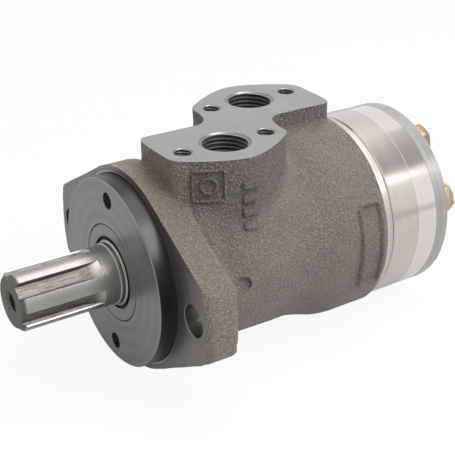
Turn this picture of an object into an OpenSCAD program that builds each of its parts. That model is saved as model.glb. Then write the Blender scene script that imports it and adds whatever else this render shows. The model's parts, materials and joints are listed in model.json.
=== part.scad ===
// Orbital hydraulic motor with a splined output shaft, an oval two-hole flange and two ports on top.
// Shaft axis is Y, shaft end towards -Y, mounting face at y = 0, port face towards +Z. Sizes in mm.

/* [Show] */
// sub-part to draw

/* [Mounting flange] */
// thickness of the two ears
flange_thickness = 13.9; // [10:0.1:18]
// distance from the axis to the straight edges
flange_waist_r = 44.5; // [42:0.1:50]
// how far the straight flange edges lie inside the waist circle
flange_edge_inset = 0.05; // [0.02:0.01:0.3]
// radius of the rounded ear ends, from the axis
flange_end_r = 64.7; // [60:0.1:72]
// slope of the straight edges, degrees
flange_edge_slope = 30; // [20:1:40]
// corner radius of the ears
flange_corner_r = 4; // [2:0.5:8]
// pitch circle diameter of the two bolt holes
flange_pcd = 106.4; // [104:0.1:108]
// flange bolt hole radius
flange_hole_r = 6.75; // [6:0.05:7.5]
// edge break at the flange holes
flange_hole_chamfer = 0.2; // [0.1:0.1:1.5]
// radius of the turned front edge at the ear ends
ear_round_r = 3.2; // [1:0.1:4]

/* [Front cover and pilot] */
// pilot radius
pilot_r = 41.25; // [40:0.01:42]
// how far the pilot stands in front of the mounting face
pilot_height = 7.7; // [6:0.1:9]
// edge break of the pilot
pilot_chamfer = 0.4; // [0.2:0.1:1]
// front edge of the relief behind the pilot, in front of the mounting face
pilot_relief_width = 0.4; // [0.2:0.1:2]
// depth of the shallow seat for the cover in the mounting face
cover_seat_depth = 0.5; // [0.2:0.1:1]
// clearance round the pilot in that seat
cover_seat_clearance = 0.35; // [0.1:0.05:1]
// depth of the relief groove behind the pilot
pilot_relief_depth = 1.6; // [0.5:0.1:3]
// radius of the spigot inside the housing
spigot_r = 26.95; // [25:0.01:28]
// length of the spigot
spigot_length = 6; // [4:0.1:8]
// radius of the opening round the shaft
opening_r = 15.8; // [15:0.1:17]
// radius of the dust cap recess
dust_recess_r = 21.1; // [19:0.05:22]
// depth of the dust cap recess
dust_recess_depth = 3.5; // [3:0.1:5]
// thickness of the dust cap
dust_cap_thickness = 1.5; // [1:0.1:2]
// radius of the shaft seal recess
seal_recess_r = 20.5; // [19:0.1:22]
// bottom of the shaft seal recess, behind the mounting face
seal_recess_start = 0.3; // [0.1:0.1:1]
// radius at which the two cover screws stand
cover_screw_place_r = 33; // [31:0.1:35]
// radius of the counterbore for a cover screw
cover_counterbore_r = 3.6; // [3.2:0.05:4]
// depth of the counterbore
cover_counterbore_depth = 6.6; // [5:0.1:7]
// cover screw thread radius
cover_screw_r = 2; // [1.5:0.1:3]
// cover screw head radius
cover_screw_head_r = 3.5; // [3:0.1:4]
// cover screw head height
cover_screw_head_height = 4; // [3:0.1:5]
// key size of the cover screw
cover_screw_key = 3; // [2:0.5:4]
// depth of the thread in the housing
cover_screw_depth = 11; // [8:0.5:14]

/* [Output shaft] */
// length in front of the mounting face
shaft_reach = 52.9; // [45:0.1:60]
// radius of the plain land
shaft_r = 12.84; // [12.5:0.01:13]
// how much lower the spline tips stand
spline_tip_drop = 0.18; // [0.16:0.01:0.3]
// chamfer at the shaft end
shaft_chamfer = 2; // [0.5:0.1:2.5]
// radius at the bottom of the splines
spline_root_r = 10.77; // [10:0.01:11.5]
// width of a spline tooth
spline_tooth_width = 6.22; // [5.5:0.01:6.6]
// turn of the splines, degrees from +X towards +Z
spline_turn = 15; // [0:1:60]
// where the spline run-out ends, distance in front of the mounting face
spline_end = 16.1; // [14:0.1:24]
// radius of the cutter that leaves the run-out
spline_runout_r = 45; // [6:0.5:60]
// thread radius of the hole in the shaft end
shaft_hole_r = 4; // [3:0.1:5]
// depth of the hole in the shaft end
shaft_hole_depth = 18; // [12:0.5:24]
// depth of the countersink at that hole
shaft_hole_chamfer = 1; // [0.3:0.1:1.5]
// radius of the seal journal
journal_r = 14.25; // [13.5:0.05:15]
// where the journal starts, in front of the mounting face
journal_start = 7.6; // [7:0.1:9]
// length of the cone before the journal
journal_cone = 0.6; // [0.3:0.1:2]
// radius of the shoulder between the land and the journal
shoulder_r = 13.4; // [13:0.05:13.8]
// where the shoulder starts, in front of the mounting face
shoulder_start = 9.7; // [9.3:0.1:10.2]
// length of the cone before the shoulder
shoulder_cone = 0.4; // [0.2:0.1:0.6]
// radius of the thrust collar
collar_r = 23.5; // [21:0.1:24]
// front face of the collar
collar_y = 9.5; // [9:0.1:11]
// thickness of the collar
collar_thickness = 3.4; // [2.5:0.1:5]
// radius of the valve spool
spool_r = 19; // [17:0.01:20]
// rear end of the spool
spool_end_y = 104; // [95:0.5:107]
// radius of the bore inside the spool
spool_bore_r = 13.2; // [12:0.1:14]
// width of a valve slot
valve_slot_width = 4.4; // [3:0.1:5]
// depth of a valve slot
valve_slot_depth = 3; // [2:0.1:3.5]
// number of slots for each port
valve_slot_count = 6; // [6:1:6]

/* [Housing casting] */
// rear machined face
housing_end_y = 109.7; // [105:0.1:115]
// radius of the waist of the casting
barrel_r = 40.5; // [39:0.1:42]
// radius of the rear part of the casting
barrel_rear_r = 45; // [43:0.1:47]
// where the casting starts to widen
barrel_widen_y = 66; // [60:0.5:72]
// where it has its full rear radius
barrel_full_y = 85; // [80:0.5:92]
// where the machined rear band starts
band_y = 104.5; // [102:0.1:107]
// radius of the machined band at its front
band_r = 43.4; // [42:0.1:45]
// radius of the soft ridge behind the flange
neck_r = 43.6; // [42:0.1:44.4]
// where that ridge stands
neck_ridge_y = 18.5; // [17:0.1:20]
// how much deeper the valley between flange and ridge is
neck_valley = 1; // [0.2:0.1:2]
// end of the slope behind the ridge
neck_end_y = 23.5; // [21:0.5:26]
// recess radius for the cover spigot
cover_recess_r = 27; // [25:0.01:28]
// recess depth for the cover spigot
cover_recess_depth = 9.7; // [8:0.1:11]
// recess radius for the shaft collar
collar_recess_r = 24.2; // [22:0.1:25]
// end play of the shaft
shaft_end_play = 0.1; // [0.05:0.01:0.3]
// radial clearance of the spool
spool_clearance = 0.02; // [0.01:0.01:0.05]
// width of the two ring grooves in the bore
ring_groove_width = 12; // [9:0.5:13]
// radius of the two ring grooves
ring_groove_r = 22.3; // [21:0.1:24]
// radius at which the chamber channels stand
channel_place_r = 26.3; // [25:0.1:28]
// radius of a chamber channel
channel_r = 2.5; // [2:0.1:3]
// front end of the chamber channels
channel_start_y = 50; // [48:0.5:54]
// length of the windows into the bore
window_length = 12; // [9:0.5:14]
// width of the windows into the bore
window_width = 3; // [2:0.1:4]

/* [Port pad] */
// height of the port face over the axis
pad_z = 54.6; // [50:0.1:60]
// port centre across
port_x = 18.5; // [16:0.1:20]
// centre of port A along the axis
port_a_y = 37.8; // [35:0.1:40]
// centre of port B along the axis
port_b_y = 74.5; // [72:0.1:77]
// thread radius of the ports
port_r = 10.4775; // [8:0.0005:12]
// depth of the ports
port_depth = 15; // [14:0.5:18]
// countersink at the ports
port_chamfer = 0.5; // [0.3:0.1:1.5]
// radius of the drilling under each port
port_drill_r = 4.5; // [3:0.1:6]
// how far the drilling starts off the port's middle
port_drill_shift = 2; // [0:0.1:4]
// how deep the drilling ends inside the ring groove
port_drill_overlap = 1.3; // [0.5:0.1:3]
// distance between the two fixing holes of a port
port_bolt_pitch = 40; // [38:0.1:42]
// thread radius of a fixing hole
port_bolt_r = 4; // [3:0.1:5]
// depth of a fixing hole
port_bolt_depth = 13; // [10:0.5:15]
// countersink at a fixing hole
port_bolt_chamfer = 0.2; // [0.1:0.1:1]
// outline of one half of the pad, across and along
pad_half = [[-3.6, 16], [-3.4, 12], [-1.2, 10.2], [4, 9.9], [14, 9.5], [20.8, 9.3], [24.4, 10.4],
            [28.7, 15], [34.3, 24.4], [37.7, 33.2], [37.6, 41.9], [32.2, 52.4], [25.3, 61.9], [21.4, 64.7],
            [14.2, 65.8], [7.8, 68.5], [4.4, 72.7], [4, 78.2], [3.8, 88]];
// middle of the pad along the axis
pad_middle_y = 56.2; // [50:0.1:60]
// points between two outline points
pad_steps = 3; // [1:1:6]

/* [Drain] */
// place of the drain along the axis
drain_y = 28.7; // [24:0.1:34]
// radius of the round drain boss
drain_boss_r = 11.5; // [10.5:0.1:13]
// wall between the ring groove and the foot of the boss
boss_root_wall = 1.5; // [1:0.1:3]
// distance of the boss face from the axis
boss_face = 42.6; // [41.5:0.1:45]
// radius of the blind spot opposite the drain
blind_spot_r = 4.6; // [4:0.1:9]
// place of that spot along the shaft
blind_spot_y = 30.8; // [24:0.1:36]
// distance of the blind spot's floor from the axis
blind_spot_face = 39.7; // [38.5:0.1:40.4]
// radius of the counterbore for the plug collar
drain_counterbore_r = 9.4; // [9:0.1:11]
// depth of that counterbore
drain_counterbore_depth = 3.2; // [2:0.1:5]
// thread radius of the drain
drain_r = 6.58; // [5:0.01:8]
// depth of the drain thread under the counterbore
drain_depth = 9; // [7:0.5:10]
// radius of the small drain drillings
drain_drill_r = 1.3; // [1:0.1:2]
// thickness of the drain washer
drain_washer_thickness = 1; // [0.8:0.1:1.5]
// radius of the plug collar
plug_collar_r = 9; // [8:0.1:10]
// thickness of the plug collar
plug_collar_thickness = 2.1; // [1.5:0.1:4]
// size of the key hole in the plug
plug_key = 6; // [5:1:8]
// depth of the key hole
plug_key_depth = 5; // [3:0.1:7]
// length of the plug thread
plug_thread_length = 7.6; // [6:0.1:8.5]

/* [Gear set] */
// thickness of the distributor plate
plate_thickness = 14.3; // [12:0.1:18]
// outer radius of the plate
plate_r = 43.4; // [42:0.1:45]
// radius of the opening in the plate
plate_opening_r = 14; // [12:0.1:15]
// width of the gear ring, which sets the displacement
ring_width = 10.5; // [9:0.1:40]
// outer radius of the gear ring
ring_r = 43.3; // [42:0.1:45]
// radius at which the lobes stand
lobe_place_r = 31; // [29:0.1:33]
// radius of a lobe
lobe_r = 8; // [7:0.1:9]
// eccentricity of the rotor
eccentricity = 3.4; // [2.5:0.05:4]
// number of lobes
lobe_count = 7; // [7:1:7]
// extra room behind the rotor tips
tip_room = 0.3; // [0.2:0.05:1]
// clearance of the rotor flanks
rotor_clearance = 0.03; // [0.02:0.01:0.1]
// clearance of the rotor at each face
rotor_side_clearance = 0.02; // [0.01:0.01:0.05]
// points round the rotor outline
rotor_points = 216; // [120:12:360]
// thickness of the end cover
end_cover_thickness = 7.4; // [5:0.1:12]
// depth of the slots that widen the plate's holes
plate_slot_depth = 4; // [2:0.5:6]
// width of those slots
plate_slot_width = 3.2; // [2:0.1:4]
// how far those slots reach outwards
plate_slot_reach = 1; // [0.5:0.1:2]
// chamfer of the end cover
end_cover_chamfer = 1.1; // [0.5:0.1:2]

/* [Cardan shaft] */
// middle of the front head
cardan_front_y = 57; // [55:0.1:60]
// room between the plate and the rear head
cardan_plate_room = 0.45; // [0.2:0.05:1]
// length of the front head
cardan_front_length = 11.4; // [8:0.1:13]
// room between the rear head and the spacer disc
cardan_spacer_room = 0.6; // [0.5:0.05:1]
// tip radius of the cardan teeth
cardan_tip_r = 10.6; // [9:0.1:11]
// radius between the cardan teeth
cardan_root_r = 8.1; // [7:0.1:9]
// width of a cardan tooth
cardan_tooth_width = 2.3; // [2:0.05:3]
// radius of the cardan rod
cardan_rod_r = 7.4; // [6:0.1:8]
// number of teeth
cardan_teeth = 12; // [12:1:12]
// radius over the mating inner teeth
inner_tip_r = 8.8; // [8:0.1:9.5]
// radius at the bottom of the mating grooves
inner_root_r = 11.1; // [10.5:0.1:12]
// width of a mating groove
inner_groove_width = 3.12; // [2.8:0.01:3.5]
// length of the inner spline in the output shaft
inner_spline_length = 14; // [10:0.5:18]
// radius of the spacer disc
spacer_r = 8.4; // [7:0.1:8.6]
// thickness of the spacer disc
spacer_thickness = 3.2; // [2:0.1:4]

/* [End cover bolts] */
// number of bolts
bolt_count = 7; // [7:1:7]
// radius at which they stand
bolt_place_r = 33; // [32:0.1:34]
// bolt thread radius
bolt_r = 3.98; // [3:0.01:5]
// radius of the threaded hole
bolt_hole_r = 4; // [3:0.01:5]
// radius of the clearance hole
bolt_clear_r = 4.3; // [4.1:0.1:4.6]
// thread length of a bolt in the housing
bolt_grip = 13.7; // [10:0.1:18]
// depth of the threaded holes
bolt_hole_depth = 16; // [12:0.5:20]
// key size
bolt_key = 13; // [12:1:14]
// head height
bolt_head_height = 5.3; // [5:0.1:6]
// washer radius
washer_r = 7.75; // [7:0.05:8.5]
// washer thickness
washer_thickness = 1.6; // [1:0.1:2]

/* [Thrust bearing] */
// race thickness
race_thickness = 1.5; // [1:0.1:2]
// race inner radius
race_inner_r = 15; // [14.5:0.1:16]
// race outer radius
race_outer_r = 24; // [22:0.1:25]
// needle radius
needle_r = 1; // [0.8:0.1:1.5]
// needle length
needle_length = 6.4; // [4:0.1:7]
// middle of the needles, from the axis
needle_place_r = 19.4; // [18:0.1:20]
// number of needles
needle_count = 24; // [18:1:30]
// cage thickness
cage_thickness = 1.4; // [1:0.1:1.8]
// clearance of a needle in its pocket
needle_clearance = 0.05; // [0.02:0.01:0.1]

/* [Check valves] */
// radius at which they stand
check_place_r = 25.6; // [25:0.1:26]
// ball radius
ball_r = 2; // [1.5:0.1:2.5]
// radius of the ball chamber
ball_chamber_r = 2.3; // [2.1:0.1:2.8]
// how far a ball lifts
ball_lift = 1.2; // [0.8:0.1:2]
// thread radius of a seat
seat_r = 3; // [2.5:0.1:3.5]
// length of a seat
seat_length = 4.5; // [3:0.1:6]
// front face of a seat
seat_y = 104; // [103:0.1:106]
// radius of the hole in a seat
seat_hole_r = 1.3; // [1:0.1:1.6]
// radius of the drilling to the port
check_drill_r = 1.2; // [1:0.1:1.5]

/* [Seals] */
// cord radius of the O-rings
cord_r = 0.9; // [0.7:0.05:1.2]
// wall between the bolt holes and the body O-ring grooves
body_ring_wall = 1.2; // [0.8:0.1:2]
// width of an O-ring groove
cord_groove_width = 2.2; // [2:0.1:3]
// middle of the cover O-ring groove
cover_cord_y = 2.8; // [2:0.1:4]
// gap at a seal lip
lip_gap = 0.02; // [0.01:0.01:0.05]

/* [Hidden] */
$fn = 96;
eps = 0.01;
bolt_turn = -90;
channel_turn = 90;
check_a_turn = bolt_turn + 3 * 360 / bolt_count;
check_b_turn = bolt_turn + 4 * 360 / bolt_count;
plate_end_y = housing_end_y + plate_thickness;
ring_end_y = plate_end_y + ring_width;
cover_end_y = ring_end_y + end_cover_thickness;
rotor_end_y = ring_end_y - rotor_side_clearance;
cardan_rear_length = ring_width - spacer_thickness - cardan_plate_room - cardan_spacer_room;
cardan_rear_y = plate_end_y + cardan_plate_room + cardan_rear_length / 2;
cardan_tilt = atan(eccentricity / (cardan_rear_y - cardan_front_y));
bolt_length = washer_thickness + end_cover_thickness + ring_width + plate_thickness + bolt_grip;
body_ring_r = bolt_place_r + bolt_clear_r + body_ring_wall + cord_groove_width / 2;
bore_start = collar_y / 2;
drill_low = [(ring_groove_r - port_drill_overlap) * cos(check_a_turn),
             (ring_groove_r - port_drill_overlap) * sin(check_a_turn)];
drill_high = [port_x - port_drill_shift, pad_z - port_depth];
cavity_r = lobe_place_r + 2 * eccentricity - lobe_r + tip_room;
ball_y = seat_y - sqrt(ball_r * ball_r - seat_hole_r * seat_hole_r);
ear_centre_r = flange_end_r - flange_corner_r;
flange_edge_d = flange_waist_r - flange_edge_inset;
ear_centre_w = flange_edge_d - flange_corner_r;
ear_along = sqrt(ear_centre_r * ear_centre_r - ear_centre_w * ear_centre_w);
es = sin(flange_edge_slope);
ec = cos(flange_edge_slope);
ear_cx = ear_centre_w * es + ear_along * ec;
ear_cz = ear_centre_w * ec - ear_along * es;

function catmull(p0, p1, p2, p3, t) =
    0.5 * ((2 * p1) + (p2 - p0) * t + (2 * p0 - 5 * p1 + 4 * p2 - p3) * t * t
    + (3 * p1 - p0 - 3 * p2 + p3) * t * t * t);
function smooth_loop(p, n) = [for (i = [0 : len(p) - 1]) for (k = [0 : n - 1])
    catmull(p[(i + len(p) - 1) % len(p)], p[i], p[(i + 1) % len(p)], p[(i + 2) % len(p)], k / n)];
function half_turn(p) = [for (q = p) [-q[0], 2 * pad_middle_y - q[1]]];
function rotor_point(t, rl) =
    let (c = [lobe_place_r * cos(t) - eccentricity * cos(7 * t),
            lobe_place_r * sin(t) - eccentricity * sin(7 * t)],
         m = [lobe_place_r * cos(t) - 7 * eccentricity * cos(7 * t),
              lobe_place_r * sin(t) - 7 * eccentricity * sin(7 * t)])
    c - rl * m / norm(m);

// a solid of revolution round Y from points (radius, y)
module rev(points) {
    rotate([-90, 0, 0]) rotate_extrude() polygon(points);
}

// a cylinder along +Y
module ycyl(y, h, r) {
    translate([0, y, 0]) rotate([-90, 0, 0]) cylinder(h = h, r = r);
}

// an outline in X and Z, drawn out along Y
module xz(y, h) {
    translate([0, y + h, 0]) rotate([90, 0, 0]) linear_extrude(h) children();
}

// turn round Y, from +X towards +Z
module turn(a) {
    rotate([0, -a, 0]) children();
}

// repeat round Y
module ring_of(n, start) {
    for (i = [0 : n - 1]) turn(start + i * 360 / n) children();
}

// an O-ring round Y
module cord_ring(y, r) {
    translate([0, y, 0]) rotate([-90, 0, 0]) rotate_extrude() translate([r, 0]) circle(cord_r, $fn = 32);
}

module flange_outline() {
    circle(flange_waist_r);
    intersection() {
        circle(flange_end_r);
        for (s = [-1, 1]) scale([s, 1]) {
            polygon([[0, -flange_edge_d * ec], [flange_edge_d * es, -flange_edge_d * ec],
                [ear_cx + flange_corner_r * es, -ear_cz - flange_corner_r * ec],
                [ear_cx * flange_end_r / ear_centre_r, -ear_cz * flange_end_r / ear_centre_r],
                [ear_cx * 1.2, -ear_cz * 1.2], [ear_cx * 1.2, ear_cz * 1.2],
                [ear_cx * flange_end_r / ear_centre_r, ear_cz * flange_end_r / ear_centre_r],
                [ear_cx + flange_corner_r * es, ear_cz + flange_corner_r * ec],
                [flange_edge_d * es, flange_edge_d * ec], [0, flange_edge_d * ec]]);
        }
    }
    for (sx = [-1, 1]) for (sz = [-1, 1])
        translate([sx * ear_cx, sz * ear_cz]) circle(flange_corner_r, $fn = 32);
}

module flange() {
    intersection() {
        xz(0, flange_thickness) flange_outline();
        rev(concat([[0, 0]], [for (a = [0 : 10 : 90])
            [flange_end_r - ear_round_r + ear_round_r * sin(a), ear_round_r - ear_round_r * cos(a)]],
            [[flange_end_r + 1, ear_round_r], [flange_end_r + 1, flange_thickness], [0, flange_thickness]]));
    }
}

module pad_outline() {
    polygon(smooth_loop(concat(pad_half, half_turn(pad_half)), pad_steps));
}

module barrel() {
    step = (barrel_full_y - barrel_widen_y) / 4;
    grow = barrel_rear_r - barrel_r;
    rev([[0, 0], [flange_waist_r - 1, 0], [flange_waist_r - 1, flange_thickness - 1],
        [flange_waist_r, flange_thickness],
        [neck_r - neck_valley, flange_thickness + neck_valley], [neck_r, neck_ridge_y],
        [barrel_r, neck_end_y], [barrel_r, barrel_widen_y],
        [barrel_r + 0.16 * grow, barrel_widen_y + step], [barrel_r + 0.5 * grow, barrel_widen_y + 2 * step],
        [barrel_r + 0.84 * grow, barrel_widen_y + 3 * step], [barrel_rear_r, barrel_full_y],
        [barrel_rear_r, band_y - 1.8], [barrel_rear_r - 0.6, band_y - 0.7], [band_r + 0.4, band_y],
        [band_r, band_y + 0.2], [band_r, housing_end_y - 0.9],
        [band_r - 0.8, housing_end_y], [0, housing_end_y]]);
}

module port_cut(x, y) {
    translate([x, y, pad_z - port_depth]) cylinder(h = port_depth + 1, r = port_r);
    translate([x, y, pad_z - port_chamfer])
        cylinder(h = port_chamfer + eps, r1 = port_r, r2 = port_r + port_chamfer + eps);
    for (s = [-1, 1]) translate([x, y + s * port_bolt_pitch / 2, pad_z]) {
        translate([0, 0, -port_bolt_depth]) cylinder(h = port_bolt_depth + 1, r = port_bolt_r);
        translate([0, 0, -port_bolt_depth - 2.2]) cylinder(h = 2.2 + eps, r1 = 0.2, r2 = port_bolt_r);
        translate([0, 0, -port_bolt_chamfer])
            cylinder(h = port_bolt_chamfer + eps, r1 = port_bolt_r,
                r2 = port_bolt_r + port_bolt_chamfer + eps);
    }
}

module port_drill(x, y) {
    s = x < 0 ? -1 : 1;
    way = drill_high - drill_low;
    translate([s * drill_low[0], y, drill_low[1]]) rotate([0, s * atan2(way[0], way[1]), 0])
        translate([0, 0, -port_drill_overlap])
            cylinder(h = norm(way) + 2 * port_drill_overlap, r = port_drill_r);
}

module front_cuts() {
    ycyl(-1, cover_recess_depth + 1, cover_recess_r);
    ycyl(-1, cover_seat_depth + 1, pilot_r + cover_seat_clearance);
    ycyl(-1, collar_y + collar_thickness + shaft_end_play + 1, collar_recess_r);
    for (s = [-1, 1]) {
        translate([s * flange_pcd / 2, 0, 0]) ycyl(-1, flange_thickness + 2, flange_hole_r);
        translate([s * flange_pcd / 2, -eps, 0]) rotate([-90, 0, 0])
            cylinder(h = flange_hole_chamfer, r1 = flange_hole_r + flange_hole_chamfer, r2 = flange_hole_r);
        translate([0, 0, s * cover_screw_place_r]) ycyl(-1, cover_screw_depth + 1, cover_screw_r);
    }
}

module bore_cuts() {
    ycyl(bore_start, housing_end_y, spool_r + spool_clearance);
    ycyl(port_a_y - ring_groove_width / 2, ring_groove_width, ring_groove_r);
    ycyl(port_b_y - ring_groove_width / 2, ring_groove_width, ring_groove_r);
    ring_of(bolt_count, channel_turn) {
        translate([channel_place_r, 0, 0]) ycyl(channel_start_y, housing_end_y, channel_r);
        translate([spool_r - 1, channel_start_y, -window_width / 2])
            cube([channel_place_r - spool_r + 1, window_length, window_width]);
    }
}

module rear_cuts() {
    ring_of(bolt_count, bolt_turn) translate([bolt_place_r, 0, 0])
        ycyl(housing_end_y - bolt_hole_depth, bolt_hole_depth + 1, bolt_hole_r);
    difference() {
        ycyl(housing_end_y - 2 * cord_r, 2 * cord_r + 1, body_ring_r + cord_groove_width / 2);
        ycyl(housing_end_y - 2 * cord_r - 1, 2 * cord_r + 3, body_ring_r - cord_groove_width / 2);
    }
}

module check_cut(a, y) {
    turn(a) {
        translate([check_place_r, 0, 0]) {
            ycyl(seat_y, housing_end_y, seat_r);
            ycyl(ball_y - ball_lift - ball_r, seat_y - ball_y + ball_lift + ball_r + eps, ball_chamber_r);
            ycyl(y, seat_y - y, check_drill_r);
        }
        translate([spool_r - 1, housing_end_y - 1, -1.2]) cube([check_place_r - spool_r + 1, 2, 2.4]);
    }
}

module drain_cuts() {
    seat = boss_face - drain_counterbore_depth;
    translate([-boss_face - 1, drain_y, 0]) rotate([0, 90, 0])
        cylinder(h = drain_counterbore_depth + 1, r = drain_counterbore_r);
    translate([-seat - 1, drain_y, 0]) rotate([0, 90, 0]) cylinder(h = drain_depth + 1, r = drain_r);
    translate([-seat - eps, drain_y, 0]) rotate([0, 90, 0])
        cylinder(h = 0.5, r1 = drain_r + 0.5, r2 = drain_r);
    translate([-seat, drain_y, 0]) rotate([0, 90, 0])
        cylinder(h = seat - check_place_r + 1, r = drain_drill_r);
    translate([-check_place_r, 0, 0]) ycyl(bore_start, drain_y - bore_start + drain_drill_r, drain_drill_r);
    translate([blind_spot_face, blind_spot_y, 0]) rotate([0, 90, 0])
        cylinder(h = barrel_rear_r - blind_spot_face, r = blind_spot_r);
}

module housing() color([0.42, 0.40, 0.37]) difference() {
    union() {
        flange();
        barrel();
        linear_extrude(pad_z) pad_outline();
        translate([-boss_face, drain_y, 0]) rotate([0, 90, 0])
            cylinder(h = boss_face - ring_groove_r - boss_root_wall, r = drain_boss_r);
    }
    front_cuts();
    bore_cuts();
    rear_cuts();
    port_cut(port_x, port_a_y);
    port_cut(-port_x, port_b_y);
    port_drill(port_x, port_a_y);
    port_drill(-port_x, port_b_y);
    check_cut(check_a_turn, port_a_y);
    check_cut(check_b_turn, port_b_y);
    drain_cuts();
}

module front_cover() color([0.36, 0.36, 0.36]) difference() {
    rev([[opening_r, -pilot_height + dust_recess_depth], [dust_recess_r, -pilot_height + dust_recess_depth],
        [dust_recess_r, -pilot_height + 0.3], [dust_recess_r + 0.3, -pilot_height],
        [pilot_r - pilot_chamfer, -pilot_height], [pilot_r, -pilot_height + pilot_chamfer],
        [pilot_r, -pilot_relief_width], [pilot_r - pilot_relief_depth, -pilot_relief_width],
        [pilot_r - pilot_relief_depth, cover_seat_depth], [spigot_r, cover_seat_depth],
        [spigot_r, cover_cord_y - cord_groove_width / 2],
        [cover_recess_r - 2 * cord_r, cover_cord_y - cord_groove_width / 2],
        [cover_recess_r - 2 * cord_r, cover_cord_y + cord_groove_width / 2],
        [spigot_r, cover_cord_y + cord_groove_width / 2], [spigot_r, spigot_length - 0.4],
        [spigot_r - 0.4, spigot_length], [seal_recess_r, spigot_length], [seal_recess_r, seal_recess_start],
        [opening_r, seal_recess_start]]);
    for (s = [-1, 1]) translate([0, 0, s * cover_screw_place_r]) {
        ycyl(-pilot_height - 1, pilot_height + 2, cover_screw_r + 0.2);
        ycyl(-pilot_height - 1, cover_counterbore_depth + 1, cover_counterbore_r);
    }
}

module front_cover_screws() color([0.2, 0.2, 0.2]) {
    seat = -pilot_height + cover_counterbore_depth;
    for (s = [-1, 1]) translate([0, 0, s * cover_screw_place_r]) difference() {
        union() {
            ycyl(seat - cover_screw_head_height, cover_screw_head_height, cover_screw_head_r);
            ycyl(seat - eps, cover_screw_depth - seat - 1.5, cover_screw_r - 0.01);
        }
        translate([0, seat - cover_screw_head_height - 1, 0]) rotate([-90, 0, 0])
            cylinder(h = 3, r = cover_screw_key / sqrt(3), $fn = 6);
    }
}

module front_cover_o_ring() color([0.06, 0.06, 0.06]) cord_ring(cover_cord_y, cover_recess_r - cord_r);

module dust_cap() color([0.38, 0.38, 0.38]) {
    rev([[opening_r, -pilot_height + 0.3], [opening_r + 0.3, -pilot_height],
        [dust_recess_r - 0.35, -pilot_height], [dust_recess_r - 0.05, -pilot_height + 0.3],
        [dust_recess_r - 0.05, -pilot_height + dust_cap_thickness],
        [opening_r, -pilot_height + dust_cap_thickness]]);
}

module dust_seal() color([0.05, 0.05, 0.05]) {
    y0 = -pilot_height + dust_cap_thickness;
    rev([[dust_recess_r - 0.05, y0], [dust_recess_r - 0.05, -pilot_height + dust_recess_depth],
        [opening_r - 0.4, -pilot_height + dust_recess_depth], [journal_r + 0.65, y0 + 1.7],
        [journal_r + lip_gap, y0 + 1.1], [journal_r + lip_gap, y0 + 0.8], [journal_r + 0.5, y0 + 0.6],
        [opening_r - 0.1, y0]]);
}

module shaft_seal() color([0.07, 0.07, 0.07]) {
    y0 = seal_recess_start;
    rev([[seal_recess_r, y0], [seal_recess_r, spigot_length - 0.2],
        [seal_recess_r - 1.1, spigot_length - 0.2],
        [seal_recess_r - 1.1, y0 + 1.5], [journal_r + 2.4, y0 + 1.5], [journal_r + 1.8, y0 + 4.3],
        [journal_r + 0.7, y0 + 4.7], [journal_r + lip_gap, y0 + 3.3], [journal_r + 0.4, y0 + 2.3],
        [journal_r + 0.7, y0]]);
}

module front_race() color([0.7, 0.7, 0.68]) {
    rev([[race_inner_r, spigot_length], [race_outer_r, spigot_length],
        [race_outer_r, spigot_length + race_thickness], [race_inner_r, spigot_length + race_thickness]]);
}

module needle_cage() color([0.62, 0.56, 0.36]) difference() {
    y0 = spigot_length + race_thickness + needle_r - cage_thickness / 2;
    rev([[race_inner_r + 0.1, y0], [race_outer_r - 0.4, y0], [race_outer_r - 0.4, y0 + cage_thickness],
        [race_inner_r + 0.1, y0 + cage_thickness]]);
    ring_of(needle_count, 0)
        translate([needle_place_r - needle_length / 2 - needle_clearance, y0 - 1,
            -needle_r - needle_clearance])
        cube([needle_length + 2 * needle_clearance, cage_thickness + 2, 2 * (needle_r + needle_clearance)]);
}

module thrust_needles() color([0.75, 0.75, 0.74]) {
    ring_of(needle_count, 0)
        translate([needle_place_r - needle_length / 2, spigot_length + race_thickness + needle_r, 0])
        rotate([0, 90, 0]) cylinder(h = needle_length, r = needle_r, $fn = 32);
}

module spline_gaps() {
    difference() {
        circle(shaft_r + 1);
        circle(spline_root_r);
        for (i = [0 : 5]) rotate(spline_turn + i * 60)
            translate([0, -spline_tooth_width / 2]) square([shaft_r + 2, spline_tooth_width]);
    }
}

module spline_cut() {
    depth = shaft_r - spline_root_r;
    run = sqrt(2 * spline_runout_r * depth - depth * depth);
    full = -spline_end - run;
    intersection() {
        xz(-shaft_reach - 1, shaft_reach + 1 - spline_end + 1) spline_gaps();
        rotate([-90, 0, 0]) rotate_extrude() union() {
            translate([spline_root_r - 1, -shaft_reach - 1]) square([5, full + shaft_reach + 1]);
            translate([spline_root_r + spline_runout_r, full]) intersection() {
                circle(spline_runout_r, $fn = 180);
                translate([-spline_runout_r - 1, -eps]) square([spline_runout_r + 1, spline_runout_r]);
            }
        }
    }
}

module inner_spline(y, h) {
    xz(y, h) {
        circle(inner_tip_r);
        for (i = [0 : cardan_teeth - 1]) rotate(i * 360 / cardan_teeth)
            translate([0, -inner_groove_width / 2]) intersection() {
                square([inner_root_r, inner_groove_width]);
            }
    }
}

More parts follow.
